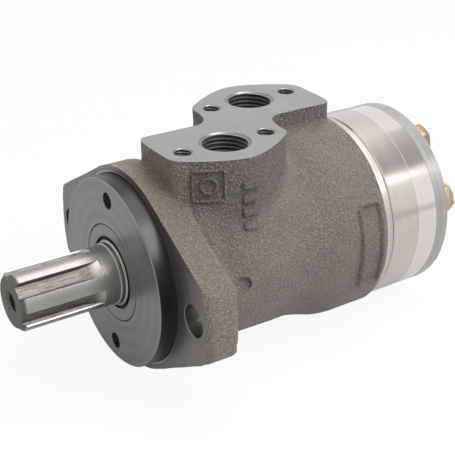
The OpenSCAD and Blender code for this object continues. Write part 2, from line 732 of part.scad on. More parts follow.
module output_shaft() color([0.72, 0.71, 0.69]) difference() {
    collar_end = collar_y + collar_thickness;
    tip_r = shaft_r - spline_tip_drop;
    rev([[0, -shaft_reach], [tip_r - shaft_chamfer, -shaft_reach], [tip_r, -shaft_reach + shaft_chamfer],
        [tip_r, -spline_end], [shaft_r, -spline_end], [shaft_r, -shoulder_start - shoulder_cone],
        [shoulder_r, -shoulder_start], [shoulder_r, -journal_start - journal_cone],
        [journal_r, -journal_start], [journal_r, collar_y],
        [collar_r, collar_y], [collar_r, collar_end], [spool_r - 0.4, collar_end],
        [spool_r - 0.4, collar_end + 1], [spool_r, collar_end + 1.4], [spool_r, spool_end_y - 0.5],
        [spool_r - 0.5, spool_end_y], [0, spool_end_y]]);
    spline_cut();
    ycyl(-shaft_reach - 1, shaft_hole_depth + 1, shaft_hole_r);
    translate([0, -shaft_reach + shaft_hole_depth - eps, 0]) rotate([-90, 0, 0])
        cylinder(h = 2.3, r1 = shaft_hole_r, r2 = 0.2);
    translate([0, -shaft_reach - eps, 0]) rotate([-90, 0, 0])
        cylinder(h = shaft_hole_chamfer, r1 = shaft_hole_r + shaft_hole_chamfer, r2 = shaft_hole_r);
    ycyl(cardan_front_y + inner_spline_length / 2, spool_end_y, spool_bore_r);
    inner_spline(cardan_front_y - inner_spline_length / 2, inner_spline_length + eps);
    ycyl(cardan_front_y - inner_spline_length / 2 - 5, 6, 6);
    ring_of(valve_slot_count, 0)
        translate([spool_r - valve_slot_depth, port_a_y - 4, -valve_slot_width / 2])
        cube([valve_slot_depth + 1, channel_start_y + window_length - port_a_y + 4, valve_slot_width]);
    ring_of(valve_slot_count, 180 / valve_slot_count)
        translate([spool_r - valve_slot_depth, channel_start_y, -valve_slot_width / 2])
        cube([valve_slot_depth + 1, port_b_y + 4 - channel_start_y, valve_slot_width]);
}

module check_seats() color([0.6, 0.58, 0.5]) {
    for (a = [check_a_turn, check_b_turn]) turn(a) translate([check_place_r, 0, 0]) difference() {
        ycyl(seat_y, seat_length, seat_r - 0.02);
        ycyl(seat_y - 1, seat_length + 2, seat_hole_r);
        translate([-seat_r, seat_y + seat_length - 0.8, -0.5]) cube([2 * seat_r, 2, 1]);
    }
}

module check_ball(a) {
    turn(a) translate([check_place_r, ball_y, 0]) sphere(ball_r, $fn = 48);
}

module check_ball_a() color([0.75, 0.75, 0.75]) check_ball(check_a_turn);

module check_ball_b() color([0.75, 0.75, 0.75]) check_ball(check_b_turn);

module distributor_plate() color([0.62, 0.60, 0.57]) difference() {
    t = plate_end_y - housing_end_y;
    rev([[0, housing_end_y], [plate_r - 0.5, housing_end_y], [plate_r, housing_end_y + 0.5],
        [plate_r, plate_end_y - 0.2], [plate_r - 0.2, plate_end_y], [0, plate_end_y]]);
    ycyl(housing_end_y - 1, t + 2, plate_opening_r);
    ring_of(bolt_count, bolt_turn) translate([bolt_place_r, 0, 0])
        ycyl(housing_end_y - 1, t + 2, bolt_clear_r);
    ring_of(bolt_count, channel_turn) {
        translate([channel_place_r, 0, 0]) ycyl(housing_end_y - 1, t + 2, channel_r);
        translate([channel_place_r - 2 * channel_r + plate_slot_reach, plate_end_y - plate_slot_depth,
            -plate_slot_width / 2]) cube([2 * channel_r, plate_slot_depth + 1, plate_slot_width]);
    }
    difference() {
        ycyl(plate_end_y - 2 * cord_r, 2 * cord_r + 1, body_ring_r + cord_groove_width / 2);
        ycyl(plate_end_y - 2 * cord_r - 1, 2 * cord_r + 3, body_ring_r - cord_groove_width / 2);
    }
}

module gear_ring() color([0.74, 0.73, 0.70]) difference() {
    h = ring_end_y - plate_end_y;
    rev([[cavity_r, plate_end_y], [ring_r - 0.2, plate_end_y], [ring_r, plate_end_y + 0.2],
        [ring_r, ring_end_y - 0.2], [ring_r - 0.2, ring_end_y], [cavity_r, ring_end_y]]);
    ring_of(bolt_count, bolt_turn) translate([bolt_place_r, 0, 0]) ycyl(plate_end_y - 1, h + 2, bolt_clear_r);
}

module rotor() color([0.66, 0.66, 0.66]) translate([0, 0, -eccentricity]) difference() {
    xz(plate_end_y + rotor_side_clearance, rotor_end_y - plate_end_y - rotor_side_clearance) rotate(bolt_turn)
        polygon([for (i = [0 : rotor_points - 1])
            rotor_point(i * 360 / rotor_points, lobe_r + rotor_clearance)]);
    inner_spline(plate_end_y - 1, ring_end_y - plate_end_y + 2);
}

module cardan_head(y, h) {
    difference() {
        rev([[0, y - h / 2], [cardan_root_r, y - h / 2], [cardan_tip_r, y - h / 2 + 1.2],
            [cardan_tip_r, y + h / 2 - 1.2], [cardan_root_r, y + h / 2], [0, y + h / 2]]);
        xz(y - h / 2 - 1, h + 2) difference() {
            circle(cardan_tip_r + 1);
            circle(cardan_root_r);
            for (i = [0 : cardan_teeth - 1]) rotate(i * 360 / cardan_teeth)
                translate([0, -cardan_tooth_width / 2]) square([cardan_tip_r + 2, cardan_tooth_width]);
        }
    }
}

module cardan_shaft() color([0.5, 0.5, 0.49]) {
    gap = cardan_rear_y - cardan_front_y;
    span = gap / cos(cardan_tilt);
    y1 = cardan_front_length / 2;
    y2 = span - cardan_rear_length / 2;
    translate([0, cardan_front_y, 0]) rotate([-cardan_tilt, 0, 0]) {
        cardan_head(0, cardan_front_length);
        cardan_head(span, cardan_rear_length);
        rev([[0, y1 - 1], [cardan_root_r, y1 - 1], [cardan_rod_r, y1 + 3], [cardan_rod_r, y2 - 3],
            [cardan_root_r, y2 + 1], [0, y2 + 1]]);
    }
}

module spacer_disc() color([0.55, 0.55, 0.54]) translate([0, 0, -eccentricity]) {
    rev([[0, ring_end_y - spacer_thickness], [spacer_r - 0.4, ring_end_y - spacer_thickness],
        [spacer_r, ring_end_y - spacer_thickness + 0.4], [spacer_r, ring_end_y - 0.4],
        [spacer_r - 0.4, ring_end_y], [0, ring_end_y]]);
}

module end_cover() color([0.50, 0.49, 0.47]) difference() {
    h = cover_end_y - ring_end_y;
    rev([[0, ring_end_y], [ring_r - 0.2, ring_end_y], [ring_r, ring_end_y + 0.2],
        [ring_r, cover_end_y - end_cover_chamfer], [ring_r - end_cover_chamfer, cover_end_y],
        [0, cover_end_y]]);
    ring_of(bolt_count, bolt_turn) translate([bolt_place_r, 0, 0]) ycyl(ring_end_y - 1, h + 2, bolt_clear_r);
    difference() {
        ycyl(ring_end_y - 1, 2 * cord_r + 1, body_ring_r + cord_groove_width / 2);
        ycyl(ring_end_y - 2, 2 * cord_r + 3, body_ring_r - cord_groove_width / 2);
    }
}

module hex_prism(key, y, h) {
    intersection() {
        translate([0, y, 0]) rotate([-90, 0, 0]) cylinder(h = h, r = key / sqrt(3), $fn = 6);
        rev([[0, y], [key / 2 + 2, y], [key / 2 + 2, y + h - 1.2], [key / 2 - 0.2, y + h], [0, y + h]]);
    }
}

module end_cover_bolts() color([0.66, 0.60, 0.45]) {
    seat = cover_end_y + washer_thickness;
    ring_of(bolt_count, bolt_turn) translate([bolt_place_r, 0, 0]) {
        hex_prism(bolt_key, seat, bolt_head_height);
        ycyl(seat - bolt_length, bolt_length + eps, bolt_r);
    }
}

module bolt_washers() color([0.70, 0.64, 0.48]) {
    ring_of(bolt_count, bolt_turn) translate([bolt_place_r, 0, 0]) difference() {
        ycyl(cover_end_y, washer_thickness, washer_r);
        ycyl(cover_end_y - 1, washer_thickness + 2, bolt_r + 0.2);
    }
}

module body_o_rings() color([0.06, 0.06, 0.06]) {
    cord_ring(housing_end_y - cord_r, body_ring_r);
    cord_ring(plate_end_y - cord_r, body_ring_r);
    cord_ring(ring_end_y + cord_r, body_ring_r);
}

module drain_plug() color([0.55, 0.55, 0.54]) {
    x0 = boss_face - drain_counterbore_depth + drain_washer_thickness;
    translate([-x0, drain_y, 0]) rotate([0, 0, 90]) difference() {
        union() {
            rev([[0, 0], [plug_collar_r, 0], [plug_collar_r, plug_collar_thickness - 0.5],
                [plug_collar_r - 0.5, plug_collar_thickness], [0, plug_collar_thickness]]);
            ycyl(-plug_thread_length - drain_washer_thickness,
                plug_thread_length + drain_washer_thickness + eps, drain_r - 0.02);
        }
        translate([0, plug_collar_thickness - plug_key_depth, 0]) rotate([-90, 0, 0])
            cylinder(h = plug_key_depth + 1, r = plug_key / sqrt(3), $fn = 6);
    }
}

module drain_washer() color([0.72, 0.45, 0.30]) {
    translate([-boss_face + drain_counterbore_depth, drain_y, 0]) rotate([0, 0, 90]) difference() {
        ycyl(0, drain_washer_thickness, plug_collar_r);
        ycyl(-1, drain_washer_thickness + 2, drain_r + 0.2);
    }
}

housing();
front_cover();
front_cover_screws();
front_cover_o_ring();
dust_cap();
dust_seal();
shaft_seal();
front_race();
needle_cage();
thrust_needles();
output_shaft();
check_seats();
check_ball_a();
check_ball_b();
distributor_plate();
gear_ring();
rotor();
cardan_shaft();
spacer_disc();
end_cover();
end_cover_bolts();
bolt_washers();
body_o_rings();
drain_plug();
drain_washer();
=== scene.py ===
import json
import math

import bmesh
import bpy
import numpy as np
from mathutils import Matrix, Vector

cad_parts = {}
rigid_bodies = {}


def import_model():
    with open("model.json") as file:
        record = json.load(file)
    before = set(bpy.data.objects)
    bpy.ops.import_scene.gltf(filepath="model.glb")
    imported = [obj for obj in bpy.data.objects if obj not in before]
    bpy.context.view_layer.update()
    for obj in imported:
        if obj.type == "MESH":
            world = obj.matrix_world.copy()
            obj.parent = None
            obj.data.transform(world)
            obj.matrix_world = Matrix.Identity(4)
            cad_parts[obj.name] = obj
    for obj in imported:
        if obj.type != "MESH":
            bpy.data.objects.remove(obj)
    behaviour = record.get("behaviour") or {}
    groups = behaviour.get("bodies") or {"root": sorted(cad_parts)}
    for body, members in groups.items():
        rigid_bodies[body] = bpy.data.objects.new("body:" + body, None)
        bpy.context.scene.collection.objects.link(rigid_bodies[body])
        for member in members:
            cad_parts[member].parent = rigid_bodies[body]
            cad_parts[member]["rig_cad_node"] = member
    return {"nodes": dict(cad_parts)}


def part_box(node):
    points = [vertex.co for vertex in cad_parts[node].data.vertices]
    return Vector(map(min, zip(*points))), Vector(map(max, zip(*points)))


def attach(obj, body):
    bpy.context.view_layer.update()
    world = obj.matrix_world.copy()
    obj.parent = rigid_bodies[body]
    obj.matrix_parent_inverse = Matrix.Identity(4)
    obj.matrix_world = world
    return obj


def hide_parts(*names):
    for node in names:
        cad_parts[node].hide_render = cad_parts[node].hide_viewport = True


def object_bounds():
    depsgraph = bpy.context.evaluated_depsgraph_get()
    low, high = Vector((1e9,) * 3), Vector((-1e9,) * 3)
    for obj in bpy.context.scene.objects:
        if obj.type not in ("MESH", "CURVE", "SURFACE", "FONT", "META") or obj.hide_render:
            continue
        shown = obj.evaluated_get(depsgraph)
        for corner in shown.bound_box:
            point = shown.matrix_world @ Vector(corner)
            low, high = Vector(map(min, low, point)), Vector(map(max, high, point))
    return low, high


bl_info = {
    "name": "Orbital hydraulic motor",
    "version": (1, 0, 0),
    "blender": (4, 5, 0),
    "location": "View3D > Sidebar > Motor",
    "description": "Dresses an orbital hydraulic motor: casting, machined faces, threads, bolts, studio",
    "category": "Add Mesh",
}

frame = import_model()
NODES = frame["nodes"]
CAD_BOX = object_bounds()
MM = 0.001
CASTING = "housing_casting"

DRAIN_Y = 0.0287
BLIND_SPOT_Y = 0.0308
SCREW_STEP = 0.020
CUTTER_REACH = 0.09


# Sizes and colours that a user would change


def length(name, default, description):
    return bpy.props.FloatProperty(
        name=name, description=description, default=default, unit="LENGTH", precision=5
    )


def colour(name, default, description):
    return bpy.props.FloatVectorProperty(
        name=name, description=description, default=default, subtype="COLOR", size=3, min=0.0, max=1.0
    )


class MotorSizes(bpy.types.PropertyGroup):
    flange_thickness: length("Flange thickness", 0.0139, "Thickness of the ears")
    flange_waist: length("Flange waist", 0.0445, "Axis to the straight flange edges")
    flange_end: length("Flange end", 0.0647, "Radius of the rounded ear ends")
    flange_hole: length("Flange hole", 0.00675, "Radius of the two flange holes")
    flange_pitch: length("Flange pitch", 0.1064, "Distance between the flange holes")
    barrel: length("Barrel", 0.0405, "Radius of the waist of the casting")
    barrel_rear: length("Rear barrel", 0.0450, "Radius of the rear of the casting")
    neck_ridge: length("Neck ridge", 0.0436, "Radius of the soft ridge behind the flange")
    ear_round: length("Ear rounding", 0.0032, "Rounding of the front edge at the ear ends")
    band: length("Machined band", 0.0434, "Radius of the turned band at the rear")
    band_start: length("Band start", 0.1045, "Where the turned band starts")
    rear_face: length("Rear face", 0.1097, "Rear face of the housing")
    pad_height: length("Port face height", 0.0546, "Port face over the shaft axis")
    port_x: length("Port offset", 0.0185, "Ports to each side of the axis")
    port_a: length("Port A", 0.0378, "Port A along the axis")
    port_b: length("Port B", 0.0745, "Port B along the axis")
    port_radius: length("Port radius", 0.0104775, "Thread radius of the ports")
    port_depth: length("Port depth", 0.015, "Depth of the ports")
    port_pitch: length("Port thread pitch", 0.001814, "Pitch of the port threads")
    screw_radius: length("Fixing hole radius", 0.004, "Thread radius of the fixing holes")
    screw_depth: length("Fixing hole depth", 0.013, "Depth of the fixing holes")
    screw_pitch: length("Fixing thread pitch", 0.00125, "Pitch of the fixing threads")
    port_chamfer: length("Port chamfer", 0.0005, "Countersink of the ports")
    screw_chamfer: length("Fixing hole chamfer", 0.0002, "Countersink of the fixing holes")
    blind_spot: length("Spot radius", 0.0046, "Radius of the blind spot on the right side")
    grain: length("Casting mesh", 0.0010, "Mesh size of the casting")
    bead: length("Mark height", 0.0005, "How far the casting marks stand out")


class MotorColours(bpy.types.PropertyGroup):
    cast: colour("Raw casting", (0.250, 0.234, 0.208), "Raw cast iron")
    machined: colour("Port face", (0.315, 0.312, 0.306), "Milled port face")
    flange_face: colour("Flange face", (0.265, 0.252, 0.240), "Turned face of the flange")
    cover: colour("Front cover", (0.300, 0.292, 0.290), "Turned front cover")
    band: colour("Turned band", (0.60, 0.575, 0.54), "Turned band of the housing")
    bright: colour("Bright steel", (0.35, 0.34, 0.325), "Ground shaft")
    ring: colour("Gear set", (0.74, 0.715, 0.685), "Ground gear ring")
    plate: colour("Plate", (0.62, 0.575, 0.535), "Ground plate before the gear ring")
    end_cover: colour("End cover", (0.43, 0.42, 0.40), "Turned end cover")
    plain: colour("Plain steel", (0.40, 0.40, 0.39), "Turned inner parts")
    zinc: colour("Zinc plate", (0.40, 0.33, 0.235), "Yellow zinc on bolts")
    black: colour("Black oxide", (0.04, 0.04, 0.042), "Black screws")
    rubber: colour("Rubber", (0.018, 0.018, 0.018), "Seals")
    brass: colour("Brass", (0.62, 0.50, 0.24), "Needle cage")
    copper: colour("Copper", (0.60, 0.32, 0.20), "Drain washer")
    floor: colour("Floor", (0.68, 0.68, 0.68), "Studio floor")


# Shader maths


class Val:
    """A shader socket that can stand in sums."""

    def __init__(self, finish, socket):
        self.finish = finish
        self.socket = socket

    def _sum(self, operation, a, b):
        return self.finish.make("ShaderNodeMath", {"operation": operation}, {0: a, 1: b})

    def __add__(self, other):
        return self._sum("ADD", self, other)

    def __radd__(self, other):
        return self._sum("ADD", other, self)

    def __sub__(self, other):
        return self._sum("SUBTRACT", self, other)

    def __mul__(self, other):
        return self._sum("MULTIPLY", self, other)

    def __pow__(self, other):
        return self._sum("POWER", self, other)

    def high(self, other):
        return self._sum("MAXIMUM", self, other)


class Finish:
    """One material and its nodes."""

    def __init__(self, name, base, roughness, metallic, **sockets):
        self.material = bpy.data.materials.new(name)
        self.material.use_nodes = True
        self.tree = self.material.node_tree
        self.tree.nodes.clear()
        self.shader = self.tree.nodes.new("ShaderNodeBsdfPrincipled")
        out = self.tree.nodes.new("ShaderNodeOutputMaterial")
        self.tree.links.new(self.shader.outputs[0], out.inputs["Surface"])
        self.put("Base Color", (*base, 1.0))
        self.put("Roughness", roughness)
        self.put("Metallic", metallic)
        for key, value in sockets.items():
            self.put(key.replace("_", " "), value)
        coords = self.tree.nodes.new("ShaderNodeTexCoord")
        self.place = Val(self, coords.outputs["Object"])

    def put(self, socket, value, node=None):
        target = (node or self.shader).inputs[socket]
        if isinstance(value, Val):
            self.tree.links.new(value.socket, target)
        else:
            target.default_value = value

    def make(self, kind, settings=None, inputs=None, output=0):
        node = self.tree.nodes.new(kind)
        for key, value in (settings or {}).items():
            setattr(node, key, value)
        for key, value in (inputs or {}).items():
            self.put(key, value, node)
        return Val(self, node.outputs[output])

    def axes(self):
        node = self.tree.nodes.new("ShaderNodeSeparateXYZ")
        self.tree.links.new(self.place.socket, node.inputs[0])
        return [Val(self, node.outputs[i]) for i in range(3)]

    def round_axes(self):
        """The three axes and the distance from the shaft axis."""
        x, y, z = self.axes()
        return x, y, z, (x * x + z * z) ** 0.5

    def show(self, surface):
        """Shows another surface than the plain shader."""
        out = next(n for n in self.tree.nodes if n.type == "OUTPUT_MATERIAL")
        self.tree.links.new(surface.socket, out.inputs["Surface"])

    def point(self, x=0.0, y=0.0, z=0.0):
        return self.make("ShaderNodeCombineXYZ", None, {0: x, 1: y, 2: z})

    def noise(self, scale, detail=2.0, rough=0.5, at=None):
        settings = {"noise_dimensions": "3D"}
        inputs = {"Vector": at or self.place, "Scale": scale, "Detail": detail, "Roughness": rough}
        return self.make("ShaderNodeTexNoise", settings, inputs)

    def spread(self, value, low, high, start=0.0, end=1.0):
        inputs = {"Value": value, "From Min": low, "From Max": high, "To Min": start, "To Max": end}
        return self.make("ShaderNodeMapRange", {"clamp": True}, inputs)

    def tint(self, amount, first, second):
        inputs = {0: amount, 6: self.rgba(first), 7: self.rgba(second)}
        return self.make("ShaderNodeMix", {"data_type": "RGBA"}, inputs, 2)

    def rgba(self, value):
        if isinstance(value, Val):
            return value
        return (*value, 1.0) if len(value) == 3 else value

    def bump(self, height, depth, strength=1.0, under=None):
        inputs = {"Height": height, "Distance": depth, "Strength": strength}
        if under is not None:
            inputs["Normal"] = under
        value = self.make("ShaderNodeBump", None, inputs)
        self.put("Normal", value)
        return value


# Noise scale of the sand grain
SAND_SCALE = 1120.0
# Where the flange's rim ends along the axis; there the rim's skin is painted paler as painted light, and
# its grain is denser
RIM_END, RIM_START = 0.0152, 0.0136
# Lines on turned faces: radius, half width and brightness against the face; the cap's line is a dark joint,
# the seat's line is a painted highlight
CAP_GROOVE = ((0.02108, 0.00036, 0.08),)
# Painted highlight: a bright thin ring on the flange face at the pilot seat's edge, as if that edge caught
# the light
SEAT_HIGHLIGHT = ((0.0420, 0.00030, 2.4),)
# Radius from which the front cover's turned side is painted dark as painted shade, and how dark that
# painted shade is
COVER_SHADE_FROM = 0.0410
SIDE_SHADE_SHARE = 0.15
# How white the floor shows to the camera and in reflections, and the room's light
FLOOR_GLOW = 0.92
FLOOR_SHEEN = 0.30
ROOM_LEVEL = 0.06


def toned(rgb, *factors):
    return tuple(min(1.0, c * k) for c, k in zip(rgb, factors))


def scaled(rgb, factor):
    return toned(rgb, factor, factor, factor)


def raw_casting(name, base):
    """Sand-cast iron: warm grey, with fine pale flecks over a darker skin and a sandy grain; the tower's
    walls are painted darker as painted shade, and the flange's rim is painted paler as painted light, with
    denser grain.
    """
    f = Finish(name, base, 0.45, 0.32)
    sand = f.noise(SAND_SCALE, 2.0, 0.6)
    speck = f.noise(2.1 * SAND_SCALE, 2.0, 0.6)
    patch = f.noise(52.0, 3.0, 0.6)
    x, y, z, radius = f.round_axes()
    rim_painted_light_and_grain = f.spread(y, RIM_END, RIM_START)
    # Painted shade: the tower's cast walls are made darker and cooler than the rest of the casting,
    # standing in for the shade on them
    tower_shade = f.spread(radius, 0.0446, 0.0490) * f.spread(y, 0.0120, 0.0150)
    skin = f.tint(f.spread(patch, 0.34, 0.66), base, toned(base, 1.26, 1.23, 1.19))
    skin = f.tint(tower_shade, skin, toned(base, 0.68, 0.70, 0.72))
    # Painted light: the flange's rim is made paler and warmer, as if it faced the light; its denser flecks
    # and pits below are grain
    skin = f.tint(rim_painted_light_and_grain * 0.7, skin, toned(base, 1.34, 1.26, 1.14))
    pale = toned(base, 2.05, 1.98, 1.86)
    fleck = f.tint(f.spread(sand, 0.48, 0.70) * (0.66 + rim_painted_light_and_grain * 0.20), skin, pale)
    pits = f.spread(speck, 0.54, 0.36) * (0.68 + rim_painted_light_and_grain * 0.16)
    f.put("Base Color", f.tint(pits, fleck, scaled(base, 0.42)))
    f.put("Roughness", f.spread(sand, 0.35, 0.65, 0.52, 0.36))
    coarse = f.bump(f.noise(300.0, 2.0, 0.5), 0.0008, 0.8)
    f.bump(sand + speck * 0.5, 0.0017, 1.0, coarse)
    return f.material


def milled_face(name, base):
    """A ground flat face: even light grey with a faint cutter pattern."""
    f = Finish(name, base, 0.38, 0.75)
    x, y, z = f.axes()
    sweep = f.noise(1.0, 2.0, 0.5, f.point(x * 90.0, y * 2600.0, z * 90.0))
    cloud = f.noise(55.0, 3.0, 0.55)
    f.put("Base Color", f.tint(f.spread(cloud, 0.3, 0.7), scaled(base, 0.93), scaled(base, 1.05)))
    f.put("Roughness", f.spread(sweep, 0.3, 0.7, 0.34, 0.46))
    f.bump(sweep, 0.00002, 0.5)
    return f.material


def turned(name, base, roughness, metallic, lines=3200.0, depth=0.00002, streak=0.12, rings=(),
           side_shade_from=None):
    """Lathe-turned metal: fine rings on faces and fine bands round cylinders; thin lines at given radii,
    darker for joints and brighter as painted highlights, and painted shade on the side beyond a given
    radius.
    """
    f = Finish(name, base, roughness, metallic)
    x, y, z, radius = f.round_axes()
    ring = f.noise(1.0, 2.0, 0.6, f.point(radius * lines, y * lines, 0.0))
    cloud = f.noise(60.0, 3.0, 0.55)
    wide = f.noise(1.0, 1.0, 0.5, f.point(radius * 420.0, y * 420.0, 0.0))
    pale = scaled(base, 1.0 + streak * 0.6)
    shade = f.tint(f.spread(wide, 0.3, 0.7), scaled(base, 1.0 - streak), pale)
    skin = f.tint(f.spread(cloud, 0.35, 0.7) * 0.35, shade, scaled(base, 0.82))
    # Thin lines at given radii: darker ones are joint lines, brighter ones are painted highlights
    for place, half, share in rings:
        off = ((radius - place) * (radius - place)) ** 0.5
        skin = f.tint(f.spread(off, half, half * 0.5), skin, scaled(base, share))
    # Painted shade: the turned side beyond that radius is darkened as if it lay in shadow
    if side_shade_from:
        side = f.spread(radius, side_shade_from, side_shade_from + 0.0002)
        skin = f.tint(side, skin, scaled(base, SIDE_SHADE_SHARE))
    f.put("Base Color", skin)
    f.put("Roughness", f.spread(ring, 0.3, 0.7, roughness * 0.85, min(1.0, roughness * 1.25)))
    f.bump(ring, depth, 0.6)
    return f.material


def splined_shaft(name, base):
    """Ground shaft: bright lands and tooth tips, duller milled tooth gaps with cutter marks along them."""
    f = Finish(name, base, 0.22, 1.0)
    x, y, z, radius = f.round_axes()
    gap = f.spread(radius, 0.01235, 0.01205) * f.spread(y, -0.0180, -0.0215)
    ring = f.noise(1.0, 2.0, 0.6, f.point(radius * 3600.0, y * 3600.0, 0.0))
    stripe = f.noise(1.0, 3.0, 0.7, f.point(x * 1500.0, y * 160.0, z * 1500.0))
    cloud = f.noise(70.0, 3.0, 0.55)
    bright = f.tint(f.spread(cloud, 0.35, 0.7), base, scaled(base, 0.88))
    dull = f.tint(f.spread(stripe, 0.35, 0.65), toned(base, 0.26, 0.25, 0.21), scaled(base, 0.50))
    f.put("Base Color", f.tint(gap, bright, dull))
    f.put("Roughness", f.spread(ring, 0.3, 0.7, 0.24, 0.34) + gap * 0.2)
    f.bump(ring * 0.3 + gap * stripe, 0.00005, 0.6)
    return f.material


def moulded_rubber(name, base):
    f = Finish(name, base, 0.55, 0.0)
    f.put("Roughness", f.spread(f.noise(700.0), 0.3, 0.7, 0.48, 0.66))
    f.bump(f.noise(1500.0, 2.0), 0.00003, 0.5)
    return f.material


def zinc_plate(name, base):
    """Yellow passivated zinc: gold with a slight rainbow drift."""
    f = Finish(name, base, 0.3, 0.95)
    drift = f.noise(120.0, 2.0, 0.5)
    rose = toned(base, 1.02, 0.90, 0.95)
    pale = toned(base, 1.3, 1.2, 0.95)
    f.put("Base Color", f.tint(f.spread(drift, 0.35, 0.65), rose, pale))
    f.put("Roughness", f.spread(f.noise(900.0), 0.3, 0.7, 0.24, 0.4))
    f.bump(f.noise(2000.0), 0.00001, 0.4)
    return f.material


def bored(name, base):
    return turned(name, scaled(base, 0.8), 0.34, 0.95)


# Of each finish: its maker, its colour, then roughness, metallic, lines, depth, streak, rings (dark joint
# lines and painted highlights) and the radius from which the side has painted shade
FINISHES = {
    "raw_casting": (raw_casting, "cast"),
    "milled_face": (milled_face, "machined"),
    "flange_face": (turned, "flange_face", 0.36, 0.85, 2600.0, 0.00002, 0.14, SEAT_HIGHLIGHT),
    "turned_band": (turned, "band", 0.30, 0.95),
    "bored_hole": (bored, "machined"),
    "turned_cover": (turned, "cover", 0.33, 0.88, 2600.0, 0.00002, 0.14, CAP_GROOVE, COVER_SHADE_FROM),
    "bright_shaft": (splined_shaft, "bright"),
    "ground_ring": (turned, "ring", 0.15, 1.0, 4200.0, 0.000003, 0.03),
    "satin_plate": (turned, "plate", 0.19, 1.0, 3000.0, 0.000005, 0.04),
    "turned_end": (turned, "end_cover", 0.30, 0.95, 2600.0, 0.00002, 0.12),
    "plain_steel": (turned, "plain", 0.35, 0.95),
    "zinc_plate": (zinc_plate, "zinc"),
    "black_oxide": (turned, "black", 0.42, 0.7, 2200.0),
    "rubber": (moulded_rubber, "rubber"),
    "brass": (turned, "brass", 0.35, 1.0),
    "copper": (turned, "copper", 0.35, 1.0),
}


def finish(kind):
    """The finished material of that kind, made once."""
    found = bpy.data.materials.get(kind)
    if found:
        return found
    maker, paint, *settings = FINISHES[kind]
    return maker(kind, tuple(getattr(bpy.context.scene.motor_colours, paint)), *settings)


# Modelling by hand


def only(*objects):
    bpy.ops.object.select_all(action="DESELECT")
    for o in objects:
        o.select_set(True)
    bpy.context.view_layer.objects.active = objects[-1]
    return objects[-1]


def named(name):
    o = bpy.context.active_object
    o.name = name
    o.data.name = name
    return o


def settle(o):
    """Puts the object's place into its mesh."""
    only(o)
    bpy.ops.object.transform_apply(location=True, rotation=True, scale=True)
    return o


def face_outwards(o):
    only(o)
    bpy.ops.object.mode_set(mode="EDIT")
    bpy.ops.mesh.select_all(action="SELECT")
    bpy.ops.mesh.remove_doubles(threshold=1e-6)
    bpy.ops.mesh.normals_make_consistent(inside=False)
    bpy.ops.object.mode_set(mode="OBJECT")
    return o


def smooth(o, angle=35.0):
    only(o)
    bpy.ops.object.shade_smooth_by_angle(angle=math.radians(angle))
    return o


def modifier(o, kind, **settings):
    m = o.modifiers.new(kind.title(), kind)
    for key, value in settings.items():
        setattr(m, key, value)
    only(o)
    bpy.ops.object.modifier_apply(modifier=m.name)
    return o


def loop_of(name, points):
    """A closed loop of edges through the points, from a drawn circle."""
    bpy.ops.object.select_all(action="DESELECT")
    bpy.ops.mesh.primitive_circle_add(vertices=len(points), radius=0.01, fill_type="NOTHING")
    o = named(name)
    for v, p in zip(o.data.vertices, points):
        v.co = p
    return o


def prism(name, outline, start, end, across):
    """An outline drawn out. across is 'XZ' (drawn out along Y) or 'XY' (drawn out along Z)."""
    if across == "XZ":
        points, way = [Vector((a, start, b)) for a, b in outline], (0, end - start, 0)
    else:
        points, way = [Vector((a, b, start)) for a, b in outline], (0, 0, end - start)
    o = loop_of(name, points)
    only(o)
    bpy.ops.object.mode_set(mode="EDIT")
    bpy.ops.mesh.select_all(action="SELECT")
    bpy.ops.mesh.edge_face_add()
    bpy.ops.mesh.extrude_region_move(TRANSFORM_OT_translate={"value": way})
    bpy.ops.object.mode_set(mode="OBJECT")
    return face_outwards(o)


def lathe(name, profile, steps=128):
    """A solid turned round Y from points (radius, y)."""
    o = loop_of(name, [Vector((r, y, 0)) for r, y in profile])
    bm = bmesh.new()
    bm.from_mesh(o.data)
    on_axis = [e for e in bm.edges if all(abs(v.co.x) < 1e-9 for v in e.verts)]
    bmesh.ops.delete(bm, geom=on_axis, context="EDGES")
    bm.to_mesh(o.data)
    bm.free()
    only(o)
    bpy.ops.object.mode_set(mode="EDIT")
    bpy.ops.mesh.select_all(action="SELECT")
    bpy.ops.mesh.spin(steps=steps, angle=2 * math.pi, center=(0, 0, 0), axis=(0, 1, 0))
    bpy.ops.object.mode_set(mode="OBJECT")
    return face_outwards(o)


def rod(name, centre, radius, depth, axis="Y", vertices=64, top=None):
    """A cylinder or cone with its middle at centre."""
    turn = {"X": (0, math.pi / 2, 0), "Y": (-math.pi / 2, 0, 0), "Z": (0, 0, 0)}[axis]
    bpy.ops.object.select_all(action="DESELECT")
    bpy.ops.mesh.primitive_cone_add(
        vertices=vertices, radius1=radius, radius2=radius if top is None else top, depth=depth,
        location=centre, rotation=turn,
    )
    return settle(named(name))


def block(name, low, high):
    bpy.ops.object.select_all(action="DESELECT")
    bpy.ops.mesh.primitive_cube_add(size=1.0, location=(Vector(low) + Vector(high)) / 2)
    o = named(name)
    o.scale = Vector(high) - Vector(low)
    return settle(o)


def join(name, objects):
    only(*objects)
    bpy.ops.object.join()
    return named(name)


def shape_by(o, tool, operation):
    modifier(o, "BOOLEAN", operation=operation, object=tool, solver="EXACT")
    bpy.data.objects.remove(tool)
    return o


def cut(o, tools):
    """Takes the tools out of o, one after the other."""
    for tool in tools:
        shape_by(o, tool, "DIFFERENCE")
    return o


def again(o, name):
    """A copy with its own mesh."""
    copy = o.copy()
    copy.data = o.data.copy()
    copy.name = copy.data.name = name
    bpy.context.scene.collection.objects.link(copy)
    return copy


def move(o, offset):
    o.data.transform(Matrix.Translation(Vector(offset)))
    return o


def wear(o, kind, body="housing_group"):
    o.data.materials.clear()
    o.data.materials.append(finish(kind))
    if "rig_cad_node" not in o:
        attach(o, body)
    return o


